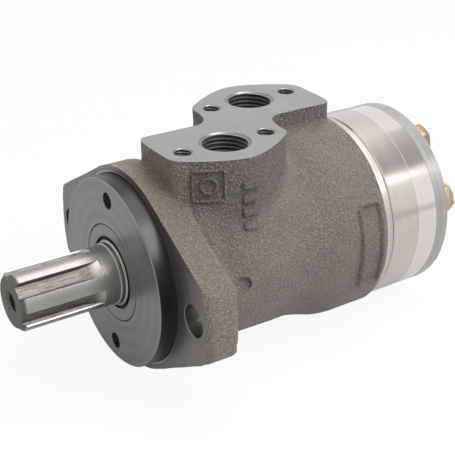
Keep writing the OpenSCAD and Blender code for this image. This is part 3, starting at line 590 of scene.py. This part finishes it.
def hollows(o, grain, rings, fade=0.92):
    """How hollow the surface is at each vertex, from 0 to 1, spread some rings of faces wide."""
    mesh = o.data
    count = len(mesh.vertices)
    at, way = np.empty(count * 3), np.empty(count * 3)
    mesh.vertices.foreach_get("co", at)
    mesh.vertices.foreach_get("normal", way)
    at, way = at.reshape(-1, 3), way.reshape(-1, 3)
    ends = np.empty(len(mesh.edges) * 2, dtype=np.int32)
    mesh.edges.foreach_get("vertices", ends)
    one = np.concatenate([ends[0::2], ends[1::2]])
    two = np.concatenate([ends[1::2], ends[0::2]])
    degree = np.maximum(np.bincount(one, minlength=count), 1)
    sums = [np.bincount(one, weights=at[two, k], minlength=count) for k in range(3)]
    mean = np.stack([total / degree for total in sums], axis=1)
    lift = ((mean - at) * way).sum(axis=1) / grain
    hollow = np.clip((lift - 0.02) / 0.10, 0.0, 1.0)
    for _ in range(rings):
        near = np.zeros(count)
        np.maximum.at(near, one, hollow[two])
        hollow = np.maximum(hollow, near * fade)
    return hollow


def rounded_loop(wide, tall, corner, grow=0.0, steps=6):
    """A rounded rectangle round its middle, moved outwards by grow."""
    corner = max(corner + grow, 1e-5)
    a, b = wide / 2 + grow - corner, tall / 2 + grow - corner
    out = []
    for k, (x, y) in enumerate(((a, b), (-a, b), (-a, -b), (a, -b))):
        out += arc(x, y, corner, k * math.pi / 2, (k + 1) * math.pi / 2, steps)
    return out


def bridge_rings(name, rings, closed):
    """Skins a row of loops; closed joins the last loop to the first, or else both ends are filled."""
    loops = []
    for i, ring in enumerate(rings):
        loops.append(loop_of(f"{name}_{i}", [Vector((x, y, 0.001 * i)) for x, y in ring]))
    o = join(name, loops)
    count = len(rings[0])
    bm = bmesh.new()
    bm.from_mesh(o.data)
    bm.verts.ensure_lookup_table()
    rows = [sorted(bm.verts, key=lambda v: v.co.z)[i * count:(i + 1) * count] for i in range(len(rings))]
    rows = [sorted(row, key=lambda v: v.index) for row in rows]
    last = len(rows) if closed else len(rows) - 1
    for i in range(last):
        low, high = rows[i], rows[(i + 1) % len(rows)]
        for k in range(count):
            n = (k + 1) % count
            bm.faces.new((low[k], low[n], high[n], high[k]))
    if not closed:
        bm.faces.new(rows[0])
        bm.faces.new(rows[-1])
    order = [[v.index for v in row] for row in rows]
    bm.to_mesh(o.data)
    bm.free()
    return o, order


def arc(cx, cy, r, start, end, steps):
    turns = [start + (end - start) * i / steps for i in range(steps + 1)]
    return [(cx + r * math.cos(a), cy + r * math.sin(a)) for a in turns]


def flange_outline(s, corner=0.004, slope=math.radians(30)):
    """The oval flange: a round waist, straight sloping edges and rounded ears."""
    waist, end = s.flange_waist, s.flange_end
    along = math.sqrt((end - corner) ** 2 - (waist - corner) ** 2)
    cx = (waist - corner) * math.sin(slope) + along * math.cos(slope)
    cz = (waist - corner) * math.cos(slope) - along * math.sin(slope)
    tip = math.atan2(cz, cx)
    quarter = arc(0, 0, end, 0.0, tip, 8)[:-1]
    quarter += arc(cx, cz, corner, tip, math.pi / 2 - slope, 8)
    quarter += arc(0, 0, waist, math.pi / 2 - slope, math.pi / 2, 14)[1:]
    half = quarter + [(-x, z) for x, z in reversed(quarter[:-1])]
    return half + [(x, -z) for x, z in reversed(half[1:-1])]


def spline_loop(points, steps=5):
    """A smooth closed curve through the points."""
    out = []
    n = len(points)
    for i in range(n):
        p0, p1, p2, p3 = (points[(i + k) % n] for k in (-1, 0, 1, 2))
        for j in range(steps):
            t = j / steps
            out.append(tuple(
                0.5 * (2 * b + (c - a) * t + (2 * a - 5 * b + 4 * c - d) * t * t
                       + (3 * b - a - 3 * c + d) * t ** 3)
                for a, b, c, d in zip(p0, p1, p2, p3)
            ))
    return out


# One half of the pad's outline, in mm, and twice its middle along the axis
PAD_HALF = [
    (-4.6, 18), (-4.8, 13.4), (-2.6, 10.4), (4, 9.4), (14, 9.2), (20.8, 9.2), (24.4, 10.4),
    (28.7, 15), (34.3, 24.4), (37.7, 33.2), (37.6, 41.9), (32.6, 52.8), (26.0, 62.4),
    (21.8, 65.4), (14.2, 66.2), (7.8, 68.5), (4.4, 72.7), (4.2, 78.2), (4.4, 88),
]
PAD_TURN = 112.4


def pad_outline():
    """The S-shaped pad: the same half twice, turned half round."""
    whole = PAD_HALF + [(-x, PAD_TURN - y) for x, y in PAD_HALF]
    return [(x * MM, y * MM) for x, y in spline_loop(whole)]


def grown(loop, wide):
    """A loop that runs anticlockwise, moved outwards by a width."""
    out = []
    for i, (x, y) in enumerate(loop):
        before, after = loop[i - 1], loop[(i + 1) % len(loop)]
        along, across = after[0] - before[0], after[1] - before[1]
        size = math.hypot(along, across)
        out.append((x + wide * across / size, y - wide * along / size))
    return out


def ports(s):
    return [(s.port_x, s.port_a), (-s.port_x, s.port_b)]


# Operators, one for each piece or group of like pieces

# The camera's turn, lift and roll in degrees, its place and its focal length in mm
CAMERA_ANGLES = (57.345, 25.838, -0.7)
CAMERA_PLACE = (0.373270, -0.188974, 0.219907)
CAMERA_LENS = 88.186
LAMP_AIM = (0.0, 0.05, 0.0)
# Steps round the tower's foot: how far out and how high over the barrel
FOOT_STEPS = ((0.0058, 0.0008), (0.0038, 0.0026), (0.0018, 0.0056))
# Smoothing of the casting: how wide the hollows are taken, and how many rounds
SOFT_ROUNDS = ((0, 3), (6, 20), (8, 24))
# Where the neck behind the flange ends, and over what length its fillets grow
NECK_END, NECK_FADE = 0.0165, 0.0040
# Heights between which the tower's foot and its upper edge keep their own form
FOOT_TOP, EDGE_START = 0.0425, 0.0500
BOLT_COUNT, BOLT_PLACE, BOLT_FLATS = 7, 0.033, 0.013

class MOTOR_OT_camera(bpy.types.Operator):
    """Camera at the photograph's viewing angle"""

    bl_idname = "motor.camera"
    bl_label = "Camera"

    def execute(self, context):
        turn, lift, roll = (math.radians(a) for a in CAMERA_ANGLES)
        back = Vector((math.sin(turn) * math.cos(lift), -math.cos(turn) * math.cos(lift), math.sin(lift)))
        right = Vector((math.cos(turn), math.sin(turn), 0.0))
        up = back.cross(right)
        right, up = (
            right * math.cos(roll) + up * math.sin(roll),
            up * math.cos(roll) - right * math.sin(roll),
        )
        bpy.ops.object.camera_add()
        camera = context.active_object
        camera.name = "photo_camera"
        facing = Matrix((right, up, back)).transposed().to_4x4()
        camera.matrix_world = Matrix.Translation(CAMERA_PLACE) @ facing
        camera.data.sensor_width = 36.0
        camera.data.lens = CAMERA_LENS
        camera.data.clip_start = 0.01
        context.scene.camera = camera
        return {"FINISHED"}


class MOTOR_OT_stage(bpy.types.Operator):
    """Pale floor and soft studio light"""

    bl_idname = "motor.stage"
    bl_label = "Stage"

    def execute(self, context):
        self.floor(context)
        self.softbox("overhead", (0.00, 0.25, 1.25), LAMP_AIM, 1.3, 1.2, 2.2)
        self.softbox("right", (0.72, 0.42, 0.90), LAMP_AIM, 0.70, 0.70, 7.2)
        self.card("grey_card", (0.26, 0.80, 0.80), (0.02, 0.13, 0.03), 0.95, 0.36, (0.17,) * 3, (0.62,) * 3)
        low = CAD_BOX[0][2] + 0.0003
        self.card("low_card", (0.60, 0.52, low), None, 0.9, 0.22, (0.42,) * 3, (0.42,) * 3)
        self.room(context)
        context.scene.view_settings.view_transform = "Standard"
        return {"FINISHED"}

    def floor(self, context):
        bpy.ops.object.select_all(action="DESELECT")
        bpy.ops.mesh.primitive_plane_add(size=6.0, location=(0, 0, CAD_BOX[0][2] - 0.0002))
        floor = named("floor")
        f = Finish("floor_paint", tuple(context.scene.motor_colours.floor), 0.75, 0.0)
        rays = f.tree.nodes.new("ShaderNodeLightPath")
        seen = Val(f, rays.outputs["Is Camera Ray"]).high(Val(f, rays.outputs["Is Transmission Ray"]))
        share = (seen * FLOOR_GLOW).high(Val(f, rays.outputs["Is Glossy Ray"]) * FLOOR_SHEEN)
        glow = f.make("ShaderNodeEmission", None, {"Color": (1, 1, 1, 1), "Strength": 1.0})
        paint = Val(f, f.shader.outputs[0])
        mixed = f.make("ShaderNodeMixShader", None, {0: share, 1: paint, 2: glow})
        f.show(mixed)
        floor.data.materials.append(f.material)

    def softbox(self, name, place, towards, wide, tall, level):
        """An area lamp that shows at the given level in polished metal."""
        bpy.ops.object.light_add(type="AREA", location=place)
        o = bpy.context.active_object
        o.name = name
        o.data.shape = "RECTANGLE"
        o.data.size, o.data.size_y = wide, tall
        o.data.energy = level * math.pi * wide * tall
        o.rotation_euler = (Vector(towards) - Vector(place)).to_track_quat("-Z", "Y").to_euler()

    def card(self, name, place, towards, wide, tall, right, left):
        """A grey card that only polished metal shows, darker on its right."""
        bpy.ops.object.select_all(action="DESELECT")
        bpy.ops.mesh.primitive_plane_add(size=1.0, location=place)
        o = named(name)
        o.scale = (wide, tall, 1)
        if towards:
            turn = (Vector(towards) - Vector(place)).to_track_quat("Z", "Y")
        else:
            turn = Matrix.Rotation(math.radians(38 + 90), 4, "Z").to_quaternion()
        o.rotation_euler = turn.to_euler()
        f = Finish(f"{name}_paint", left, 0.8, 0.0)
        x, _, _ = f.axes()
        shade = f.tint(f.spread(x, -0.5, 0.5), left, right)
        glow = f.make("ShaderNodeEmission", None, {"Color": shade, "Strength": 1.0})
        f.show(glow)
        o.data.materials.append(f.material)
        o.visible_camera = o.visible_diffuse = o.visible_shadow = False

    def room(self, context):
        """White behind and in reflections, softer on the object."""
        world = bpy.data.worlds.new("studio")
        context.scene.world = world
        world.use_nodes = True
        tree = world.node_tree
        tree.nodes.clear()
        rays = tree.nodes.new("ShaderNodeLightPath")
        seen = rays.outputs["Is Camera Ray"]
        for kind in ("Is Glossy Ray", "Is Transmission Ray"):
            either = tree.nodes.new("ShaderNodeMath")
            either.operation = "MAXIMUM"
            tree.links.new(seen, either.inputs[0])
            tree.links.new(rays.outputs[kind], either.inputs[1])
            seen = either.outputs[0]
        soft = tree.nodes.new("ShaderNodeBackground")
        soft.inputs["Strength"].default_value = ROOM_LEVEL
        white = tree.nodes.new("ShaderNodeBackground")
        for background in (soft, white):
            background.inputs["Color"].default_value = (1, 1, 1, 1)
        mix = tree.nodes.new("ShaderNodeMixShader")
        out = tree.nodes.new("ShaderNodeOutputWorld")
        tree.links.new(seen, mix.inputs[0])
        tree.links.new(soft.outputs[0], mix.inputs[1])
        tree.links.new(white.outputs[0], mix.inputs[2])
        tree.links.new(mix.outputs[0], out.inputs[0])


class MOTOR_OT_casting(bpy.types.Operator):
    """Cast housing with soft fillets, then its machined faces and holes"""

    bl_idname = "motor.casting"
    bl_label = "Casting"

    def execute(self, context):
        s = context.scene.motor_sizes
        flange = prism("flange", flange_outline(s), -0.006, s.flange_thickness + 0.0001, "XZ")
        ear = s.flange_end - s.ear_round
        turned_down = [
            (ear + s.ear_round * math.sin(a), s.ear_round * (1 - math.cos(a)))
            for a in (math.radians(k) for k in range(0, 82, 9))
        ]
        rounder = lathe("ear_rounder", [
            (0.0, -0.007), (ear, -0.007), *turned_down, (0.07, s.ear_round), (0.07, 0.02), (0.0, 0.02),
        ], 144)
        shape_by(flange, rounder, "INTERSECT")
        grow = s.barrel_rear - s.barrel
        barrel = lathe("barrel", [
            (0.0, -0.006), (s.flange_waist, -0.006), (s.flange_waist, s.flange_thickness),
            (s.neck_ridge - 0.0030, s.flange_thickness + 0.0014), (s.neck_ridge - 0.0028, 0.0162),
            (s.neck_ridge + 0.0002, 0.0186), (s.neck_ridge - 0.0004, 0.0200), (s.barrel, 0.0245),
            (s.barrel, 0.0655), (s.barrel + 0.10 * grow, 0.0690), (s.barrel + 0.42 * grow, 0.0745),
            (s.barrel + 0.82 * grow, 0.0800), (s.barrel_rear, 0.0850), (s.barrel_rear, 0.1160),
            (0.0, 0.1160),
        ])
        pad = prism("pad", pad_outline(), 0.0, 0.0640, "XY")
        boss = rod("boss", (-0.0325, DRAIN_Y, 0), 0.0115, 0.0222, "X")
        feet = [self.foot(s, wide, high) for wide, high in FOOT_STEPS]
        body = join(CASTING, [boss, pad, flange, barrel, *feet])
        grain = s.grain * 1.0
        modifier(body, "REMESH", mode="VOXEL", voxel_size=grain, adaptivity=0.0)
        self.soften(body, s, grain)
        self.machine(body, s)
        smooth(body, 32.0)
        self.finishes(body, s)
        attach(body, "housing_group")
        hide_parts("housing")
        return {"FINISHED"}

    def foot(self, s, wide, high):
        """A step round the foot of the tower, which the smoothing turns into a broad fillet."""
        foot = prism("foot", grown(pad_outline(), wide), 0.0, 0.0600, "XY")
        top = s.barrel + high
        room = lathe("foot_room", [(0.0, NECK_END), (top, NECK_END), (top, 0.0980), (0.0, 0.0980)], 144)
        shape_by(foot, room, "INTERSECT")
        return foot

    def soften(self, body, s, grain):
        """Rounds ridges a little and hollows much, as a sand mould does."""
        group = body.vertex_groups.new(name="soft")
        steps = s.grain / grain
        for share, rounds in SOFT_ROUNDS:
            if share:
                hollow = hollows(body, grain, max(3, round(share * steps)))
            else:
                hollow = np.ones(len(body.data.vertices))
            for v, w in zip(body.data.vertices, hollow):
                group.add([v.index], float(w) * self.mould_room(v.co, share), "REPLACE")
            rounds = max(2, round(rounds * steps ** 2))
            modifier(body, "SMOOTH", factor=0.5, iterations=rounds, vertex_group="soft")
        skin = bpy.data.textures.new("sand_skin", "CLOUDS")
        skin.noise_scale, skin.noise_depth = 0.0085, 2
        modifier(body, "DISPLACE", texture=skin, strength=0.00045, mid_level=0.5, texture_coords="LOCAL")

    def mould_room(self, at, hollow):
        """How far the fillets may spread at this place of the casting."""
        x, y, z = at
        r = math.hypot(x, z)
        room = 1.0
        if y < 0.0125 and r > 0.0405:
            room = 0.12
        elif y < NECK_END:
            room = 0.10 if hollow and z < FOOT_TOP else 0.35
        elif y < NECK_END + NECK_FADE and hollow and z < FOOT_TOP:
            room = 0.10 + 0.9 * (y - NECK_END) / NECK_FADE
        if z > EDGE_START:
            room = min(room, max(0.15, 1.0 - (z - EDGE_START) / 0.0040))
        if y > 0.100:
            room = min(room, 0.3)
        return room

    def machine(self, body, s):
        far = CUTTER_REACH
        cut(body, [
            block("front_cut", (-far, -0.02, -far), (far, 0.0, far)),
            block("top_cut", (-far, -0.02, s.pad_height), (far, 0.13, 0.08)),
            block("rear_cut", (-far, s.rear_face, -far), (far, 0.13, far)),
        ])
        cut(body, [lathe("band_cut", [
            (s.band, s.band_start + 0.0002), (s.band + 0.0004, s.band_start), (0.07, s.band_start),
            (0.07, 0.125), (s.band - 0.0012, 0.125), (s.band - 0.0008, s.rear_face),
            (s.band, s.rear_face - 0.0009),
        ], 160)])
        cut(body, [lathe("bore_cut", [
            (0.0, -0.01), (0.0416, -0.01), (0.0416, 0.0005), (0.027, 0.0005), (0.027, 0.0097),
            (0.0242, 0.0097), (0.0242, 0.013), (0.01905, 0.013), (0.01905, 0.12), (0.0, 0.12),
        ], 128)])
        holes = []
        for side in (-1, 1):
            x = side * s.flange_pitch / 2
            holes.append(lathe("ear_hole", [
                (0.0, -0.01), (s.flange_hole + 0.0002, -0.01), (s.flange_hole + 0.0002, 0.0),
                (s.flange_hole, 0.0002), (s.flange_hole, 0.03), (0.0, 0.03),
            ], 72))
            move(holes[-1], (x, 0, 0))
            holes.append(rod("screw_hole", (0, 0.004, side * 0.033), 0.002, 0.014, "Y", 32))
        for x, y in ports(s):
            top = s.pad_height
            holes.append(self.port_tool(x, y, top, s.port_radius, s.port_depth, s.port_chamfer, 72))
            for along in (-SCREW_STEP, SCREW_STEP):
                holes.append(self.port_tool(
                    x, y + along, top, s.screw_radius, s.screw_depth, s.screw_chamfer, 48, True
                ))
        drain = lathe("drain_tool", [
            (0.0, -0.01), (0.0094, -0.01), (0.0094, 0.0032), (0.0071, 0.0032), (0.00658, 0.0037),
            (0.00658, 0.0122), (0.0, 0.0122),
        ], 64)
        drain.data.transform(Matrix.Rotation(-math.pi / 2, 4, "Z"))
        holes.append(move(drain, (-0.0426, DRAIN_Y, 0)))
        spot = lathe("spot_tool", [
            (0.0, 0.0397), (s.blind_spot * 0.55, 0.03975), (s.blind_spot * 0.9, 0.0400),
            (s.blind_spot, 0.0406), (s.blind_spot, 0.05), (0.0, 0.05),
        ], 48)
        spot.data.transform(Matrix.Rotation(-math.pi / 2, 4, "Z"))
        holes.append(move(spot, (0, BLIND_SPOT_Y, 0)))
        cut(body, [join("hole_tools", holes)])
        dimple = Vector((0.0386, 0.0889, 0.0231))
        bpy.ops.object.select_all(action="DESELECT")
        bpy.ops.mesh.primitive_uv_sphere_add(segments=24, ring_count=12, radius=0.0026)
        ball = settle(named("dimple_tool"))
        cut(body, [move(ball, dimple + Vector((dimple.x, 0, dimple.z)).normalized() * 0.0021)])

    def port_tool(self, x, y, top, radius, depth, chamfer, steps, drilled=False):
        profile = [(0.0, -depth - (0.0022 if drilled else 0.0)), (radius, -depth), (radius, -chamfer),
                   (radius + chamfer, 0.0), (radius + chamfer, 0.004), (0.0, 0.004)]
        o = lathe("port_tool", profile, steps)
        o.data.transform(Matrix.Translation((x, y, top)) @ Matrix.Rotation(math.pi / 2, 4, "X"))
        return o

    def finishes(self, body, s):
        """Raw casting all over, milled and turned faces where tools went."""
        kinds = ("raw_casting", "milled_face", "turned_band", "flange_face", "bored_hole")
        body.data.materials.clear()
        for kind in kinds:
            body.data.materials.append(finish(kind))
        for p in body.data.polygons:
            p.material_index = kinds.index(self.face_kind(p.center, p.normal, s))

    def face_kind(self, c, n, s):
        hit = 2e-5
        r = math.hypot(c.x, c.z)
        if abs(c.z - s.pad_height) < hit and n.z > 0.9:
            return "milled_face"
        if abs(c.y) < hit and n.y < -0.9:
            return "flange_face"
        if c.y > s.band_start - 0.0002 and r < s.band + 0.00045:
            return "turned_band"
        for x, y in ports(s):
            if c.z > 0.02 and math.hypot(c.x - x, c.y - y) < s.port_radius + 0.0007:
                return "bored_hole"
            for along in (-SCREW_STEP, SCREW_STEP):
                if c.z > 0.02 and math.hypot(c.x - x, c.y - y - along) < s.screw_radius + 0.0004:
                    return "bored_hole"
        if math.hypot(abs(c.x) - s.flange_pitch / 2, c.z) < s.flange_hole + 0.0003:
            return "bored_hole"
        if r < 0.0418 and c.y < 0.0131 or r < 0.0192:
            return "flange_face"
        if c.x < -0.030 and math.hypot(c.y - DRAIN_Y, c.z) < 0.0096:
            return "bored_hole"
        return "raw_casting"


class MOTOR_OT_threads(bpy.types.Operator):
    """Threads in the ports, the fixing holes and the shaft end"""

    bl_idname = "motor.threads"
    bl_label = "Threads"

    def execute(self, context):
        s = context.scene.motor_sizes
        port = self.ridge("port_thread", s.port_radius, 0.00112, s.port_pitch, 8, 56)
        screw = self.ridge("screw_thread", s.screw_radius, 0.00066, s.screw_pitch, 9, 36)
        for letter, (x, y) in zip("ab", ports(s)):
            one = again(port, f"port_{letter}_thread")
            move(one, (x, y, s.pad_height - s.port_chamfer))
            wear(smooth(one, 25), "bored_hole")
            for place, along in (("front", -SCREW_STEP), ("rear", SCREW_STEP)):
                one = again(screw, f"port_{letter}_{place}_thread")
                move(one, (x, y + along, s.pad_height - s.screw_chamfer))
                wear(smooth(one, 25), "bored_hole")
        one = again(screw, "shaft_end_thread")
        one.data.transform(Matrix.Rotation(math.pi / 2, 4, "X"))
        move(one, (0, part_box("output_shaft")[0].y + 0.0011, 0))
        wear(smooth(one, 25), "bright_shaft", "output")
        for o in (port, screw):
            bpy.data.objects.remove(o)
        return {"FINISHED"}

    def ridge(self, name, radius, height, pitch, turns, steps):
        """One helical ridge that stands inwards from a hole's wall."""
        out, into = radius + 0.00006, radius - height
        o = loop_of(name, [
            Vector((out, 0, -0.46 * pitch)), Vector((into, 0, -0.07 * pitch)),
            Vector((into, 0, 0.07 * pitch)), Vector((out, 0, 0.46 * pitch)),
        ])
        modifier(o, "SCREW", axis="Z", angle=2 * math.pi, screw_offset=pitch, iterations=turns, steps=steps,
                 render_steps=steps, use_merge_vertices=True)
        only(o)
        bpy.ops.object.mode_set(mode="EDIT")
        bpy.ops.mesh.select_all(action="DESELECT")
        bpy.ops.mesh.select_non_manifold(extend=False, use_wire=False, use_multi_face=False,
                                         use_non_contiguous=False, use_verts=False)
        bpy.ops.mesh.edge_face_add()
        bpy.ops.object.mode_set(mode="OBJECT")
        move(face_outwards(o), (0, 0, -(turns - 0.5) * pitch))
        return cut(o, [block("level_cut", (-0.02, -0.02, 0.0), (0.02, 0.02, 0.02))])


class MOTOR_OT_bolts(bpy.types.Operator):
    """Seven hexagon bolts of the end cover"""

    bl_idname = "motor.bolts"
    bl_label = "Bolts"

    def execute(self, context):
        low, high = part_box("end_cover_bolts")
        seat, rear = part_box("bolt_washers")[1].y, high.y
        bpy.ops.object.select_all(action="DESELECT")
        bpy.ops.mesh.primitive_cylinder_add(
            vertices=6, radius=BOLT_FLATS / math.sqrt(3), depth=rear - seat,
            location=(0, (seat + rear) / 2, 0), rotation=(-math.pi / 2, 0, 0),
        )
        head = settle(named("bolt_head"))
        crown = lathe("crown", [
            (0.0, seat - 0.001), (0.010, seat - 0.001), (0.010, rear - 0.0021), (0.0066, rear - 0.0003),
            (0.0061, rear), (0.0, rear),
        ], 96)
        shape_by(head, crown, "INTERSECT")
        edge = math.radians(40)
        modifier(head, "BEVEL", width=0.00018, segments=2, limit_method="ANGLE", angle_limit=edge)
        shank = rod("shank", (0, (low.y + seat) / 2 + 0.0002, 0), 0.00396, seat - low.y + 0.0004, "Y", 40)
        bolt = join("bolt", [shank, head])
        for i in range(BOLT_COUNT):
            one = again(bolt, f"end_bolt_{i + 1}")
            spin = Matrix.Rotation(math.radians(17.0 * i), 4, "Y")
            a = math.radians(-90 + i * 360 / BOLT_COUNT)
            seat_at = (BOLT_PLACE * math.cos(a), 0, BOLT_PLACE * math.sin(a))
            one.data.transform(Matrix.Translation(seat_at) @ spin)
            wear(smooth(one, 30), "zinc_plate")
        bpy.data.objects.remove(bolt)
        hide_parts("end_cover_bolts")
        return {"FINISHED"}


class MOTOR_OT_marks(bpy.types.Operator):
    """Raised casting marks: two bare frames, a plain ring and four plain bars"""

    bl_idname = "motor.marks"
    bl_label = "Casting marks"

    def execute(self, context):
        s = context.scene.motor_sizes
        body = bpy.data.objects[CASTING]
        wall = self.flat_place((0.03246, 0.02098, 0.04427), (0.870, -0.493, 0.0))
        self.bead(body, "square_frame", wall, 0.0129, 0.0128, 0.0009, 0.00055, s.bead * 1.7)
        self.bead(body, "square_mark", wall, 0.0064, 0.0064, 0.0031, 0.00060, s.bead * 1.9)
        barrel = self.round_place(0.0961, 2.0, s.barrel_rear)
        self.bead(body, "long_frame", barrel, 0.0106, 0.0385, 0.0022, 0.00085, s.bead * 3.4)
        for i in range(4):
            spot = self.flat_place((0.0381, 0.0370, 0.0432 - 0.0058 * i), (1.0, 0.0, 0.0))
            self.pad(body, f"bar_{i + 1}", spot, 0.0074, 0.0032, 0.0012, s.bead * 2.7)
        return {"FINISHED"}

    def flat_place(self, centre, way):
        """Turns (across, up) on a flat wall into a place above it and the way down to it."""
        centre, way = Vector(centre), Vector(way).normalized()
        across = Vector((0, 0, 1)).cross(way).normalized()
        up = way.cross(across)
        return lambda a, b: (centre + across * a + up * b + way * 0.01, way)

    def round_place(self, y, degrees, radius):
        """Turns (across, up) on the round casting into a place above it and the way down to it."""
        def place(a, b):
            turn = math.radians(degrees) + b / radius
            way = Vector((math.cos(turn), 0, math.sin(turn)))
            return Vector((0, y + a, 0)) + way * (radius + 0.01), way
        return place

    def lay(self, o, body, place, rows, heights):
        """Lays every loop on the casting, each at its own height over the skin."""
        for row, high in zip(rows, heights):
            for k in row:
                v = o.data.vertices[k]
                start, way = place(v.co.x, v.co.y)
                found, at, _, _ = body.ray_cast(start, -way, distance=0.02)
                if not found:
                    raise RuntimeError(f"{o.name} misses the casting")
                v.co = at + way * high
        face_outwards(o)
        wear(smooth(o, 60), "raw_casting")

    def bead(self, body, name, place, wide, tall, corner, half, high):
        """A soft raised frame."""
        grows = (-half, -half * 1.6, -half, -half * 0.55, 0.0, half * 0.55, half, half * 1.6, half)
        flank = (-0.0008, -0.0001, 0.45 * high, 0.88 * high)
        heights = (*flank, high, *reversed(flank))
        rings = [self.divided(rounded_loop(wide, tall, corner, g)) for g in grows]
        o, rows = bridge_rings(name, rings, True)
        self.lay(o, body, place, rows, heights)

    def pad(self, body, name, place, wide, tall, corner, high):
        """A soft raised bar."""
        grows = (0.0, 0.0003, 0.0, -0.0002, -0.0004, -0.0008)
        heights = (-0.0008, -0.0001, 0.5 * high, 0.88 * high, high, 1.02 * high)
        rings = [rounded_loop(wide, tall, corner, g, 5) for g in grows]
        o, rows = bridge_rings(name, rings, False)
        self.lay(o, body, place, rows, heights)

    def divided(self, ring, parts=6):
        """Long sides cut short, so that the frame follows the skin."""
        out = []
        for p, q in zip(ring, ring[1:] + ring[:1]):
            n = parts * 2 if math.dist(p, q) > 0.012 else parts if math.dist(p, q) > 0.003 else 1
            out += [(p[0] + (q[0] - p[0]) * i / n, p[1] + (q[1] - p[1]) * i / n) for i in range(n)]
        return out


class MOTOR_OT_finishes(bpy.types.Operator):
    """Finishes of the parts that keep their solid shape"""

    bl_idname = "motor.finishes"
    bl_label = "Finishes"

    def execute(self, context):
        worn = {
            "front_cover": "turned_cover", "dust_cap": "turned_cover", "output_shaft": "bright_shaft",
            "distributor_plate": "satin_plate", "gear_ring": "ground_ring", "rotor": "ground_ring",
            "end_cover": "turned_end", "bolt_washers": "zinc_plate", "end_cover_bolts": "zinc_plate",
            "front_race": "ground_ring", "thrust_needles": "ground_ring", "check_ball_a": "ground_ring",
            "check_ball_b": "ground_ring", "cardan_shaft": "plain_steel", "spacer_disc": "plain_steel",
            "check_seats": "plain_steel", "drain_plug": "plain_steel", "needle_cage": "brass",
            "drain_washer": "copper", "front_cover_screws": "black_oxide", "front_cover_o_ring": "rubber",
            "dust_seal": "rubber", "shaft_seal": "rubber", "body_o_rings": "rubber",
            "housing": "raw_casting",
        }
        for node, kind in worn.items():
            NODES[node].data.materials.clear()
            NODES[node].data.materials.append(finish(kind))
        return {"FINISHED"}


class MOTOR_PT_panel(bpy.types.Panel):
    """Sizes, colours and pieces of the motor"""

    bl_label = "Motor"
    bl_idname = "MOTOR_PT_panel"
    bl_space_type = "VIEW_3D"
    bl_region_type = "UI"
    bl_category = "Motor"

    def draw(self, context):
        for group in (context.scene.motor_sizes, context.scene.motor_colours):
            box = self.layout.box()
            for key in group.bl_rna.properties.keys():
                if key not in ("rna_type", "name"):
                    box.prop(group, key)
        for step in STEPS:
            self.layout.operator(step.bl_idname)


STEPS = (
    MOTOR_OT_camera, MOTOR_OT_stage, MOTOR_OT_casting, MOTOR_OT_threads, MOTOR_OT_bolts, MOTOR_OT_marks,
    MOTOR_OT_finishes,
)
CLASSES = (MotorSizes, MotorColours, *STEPS, MOTOR_PT_panel)


def register():
    for c in CLASSES:
        bpy.utils.register_class(c)
    bpy.types.Scene.motor_sizes = bpy.props.PointerProperty(type=MotorSizes)
    bpy.types.Scene.motor_colours = bpy.props.PointerProperty(type=MotorColours)


def unregister():
    del bpy.types.Scene.motor_sizes
    del bpy.types.Scene.motor_colours
    for c in reversed(CLASSES):
        bpy.utils.unregister_class(c)


def main():
    register()
    bpy.ops.motor.camera()
    bpy.ops.motor.stage()
    bpy.ops.motor.casting()
    bpy.ops.motor.threads()
    bpy.ops.motor.bolts()
    bpy.ops.motor.marks()
    bpy.ops.motor.finishes()


if __name__ == "__main__":
    main()
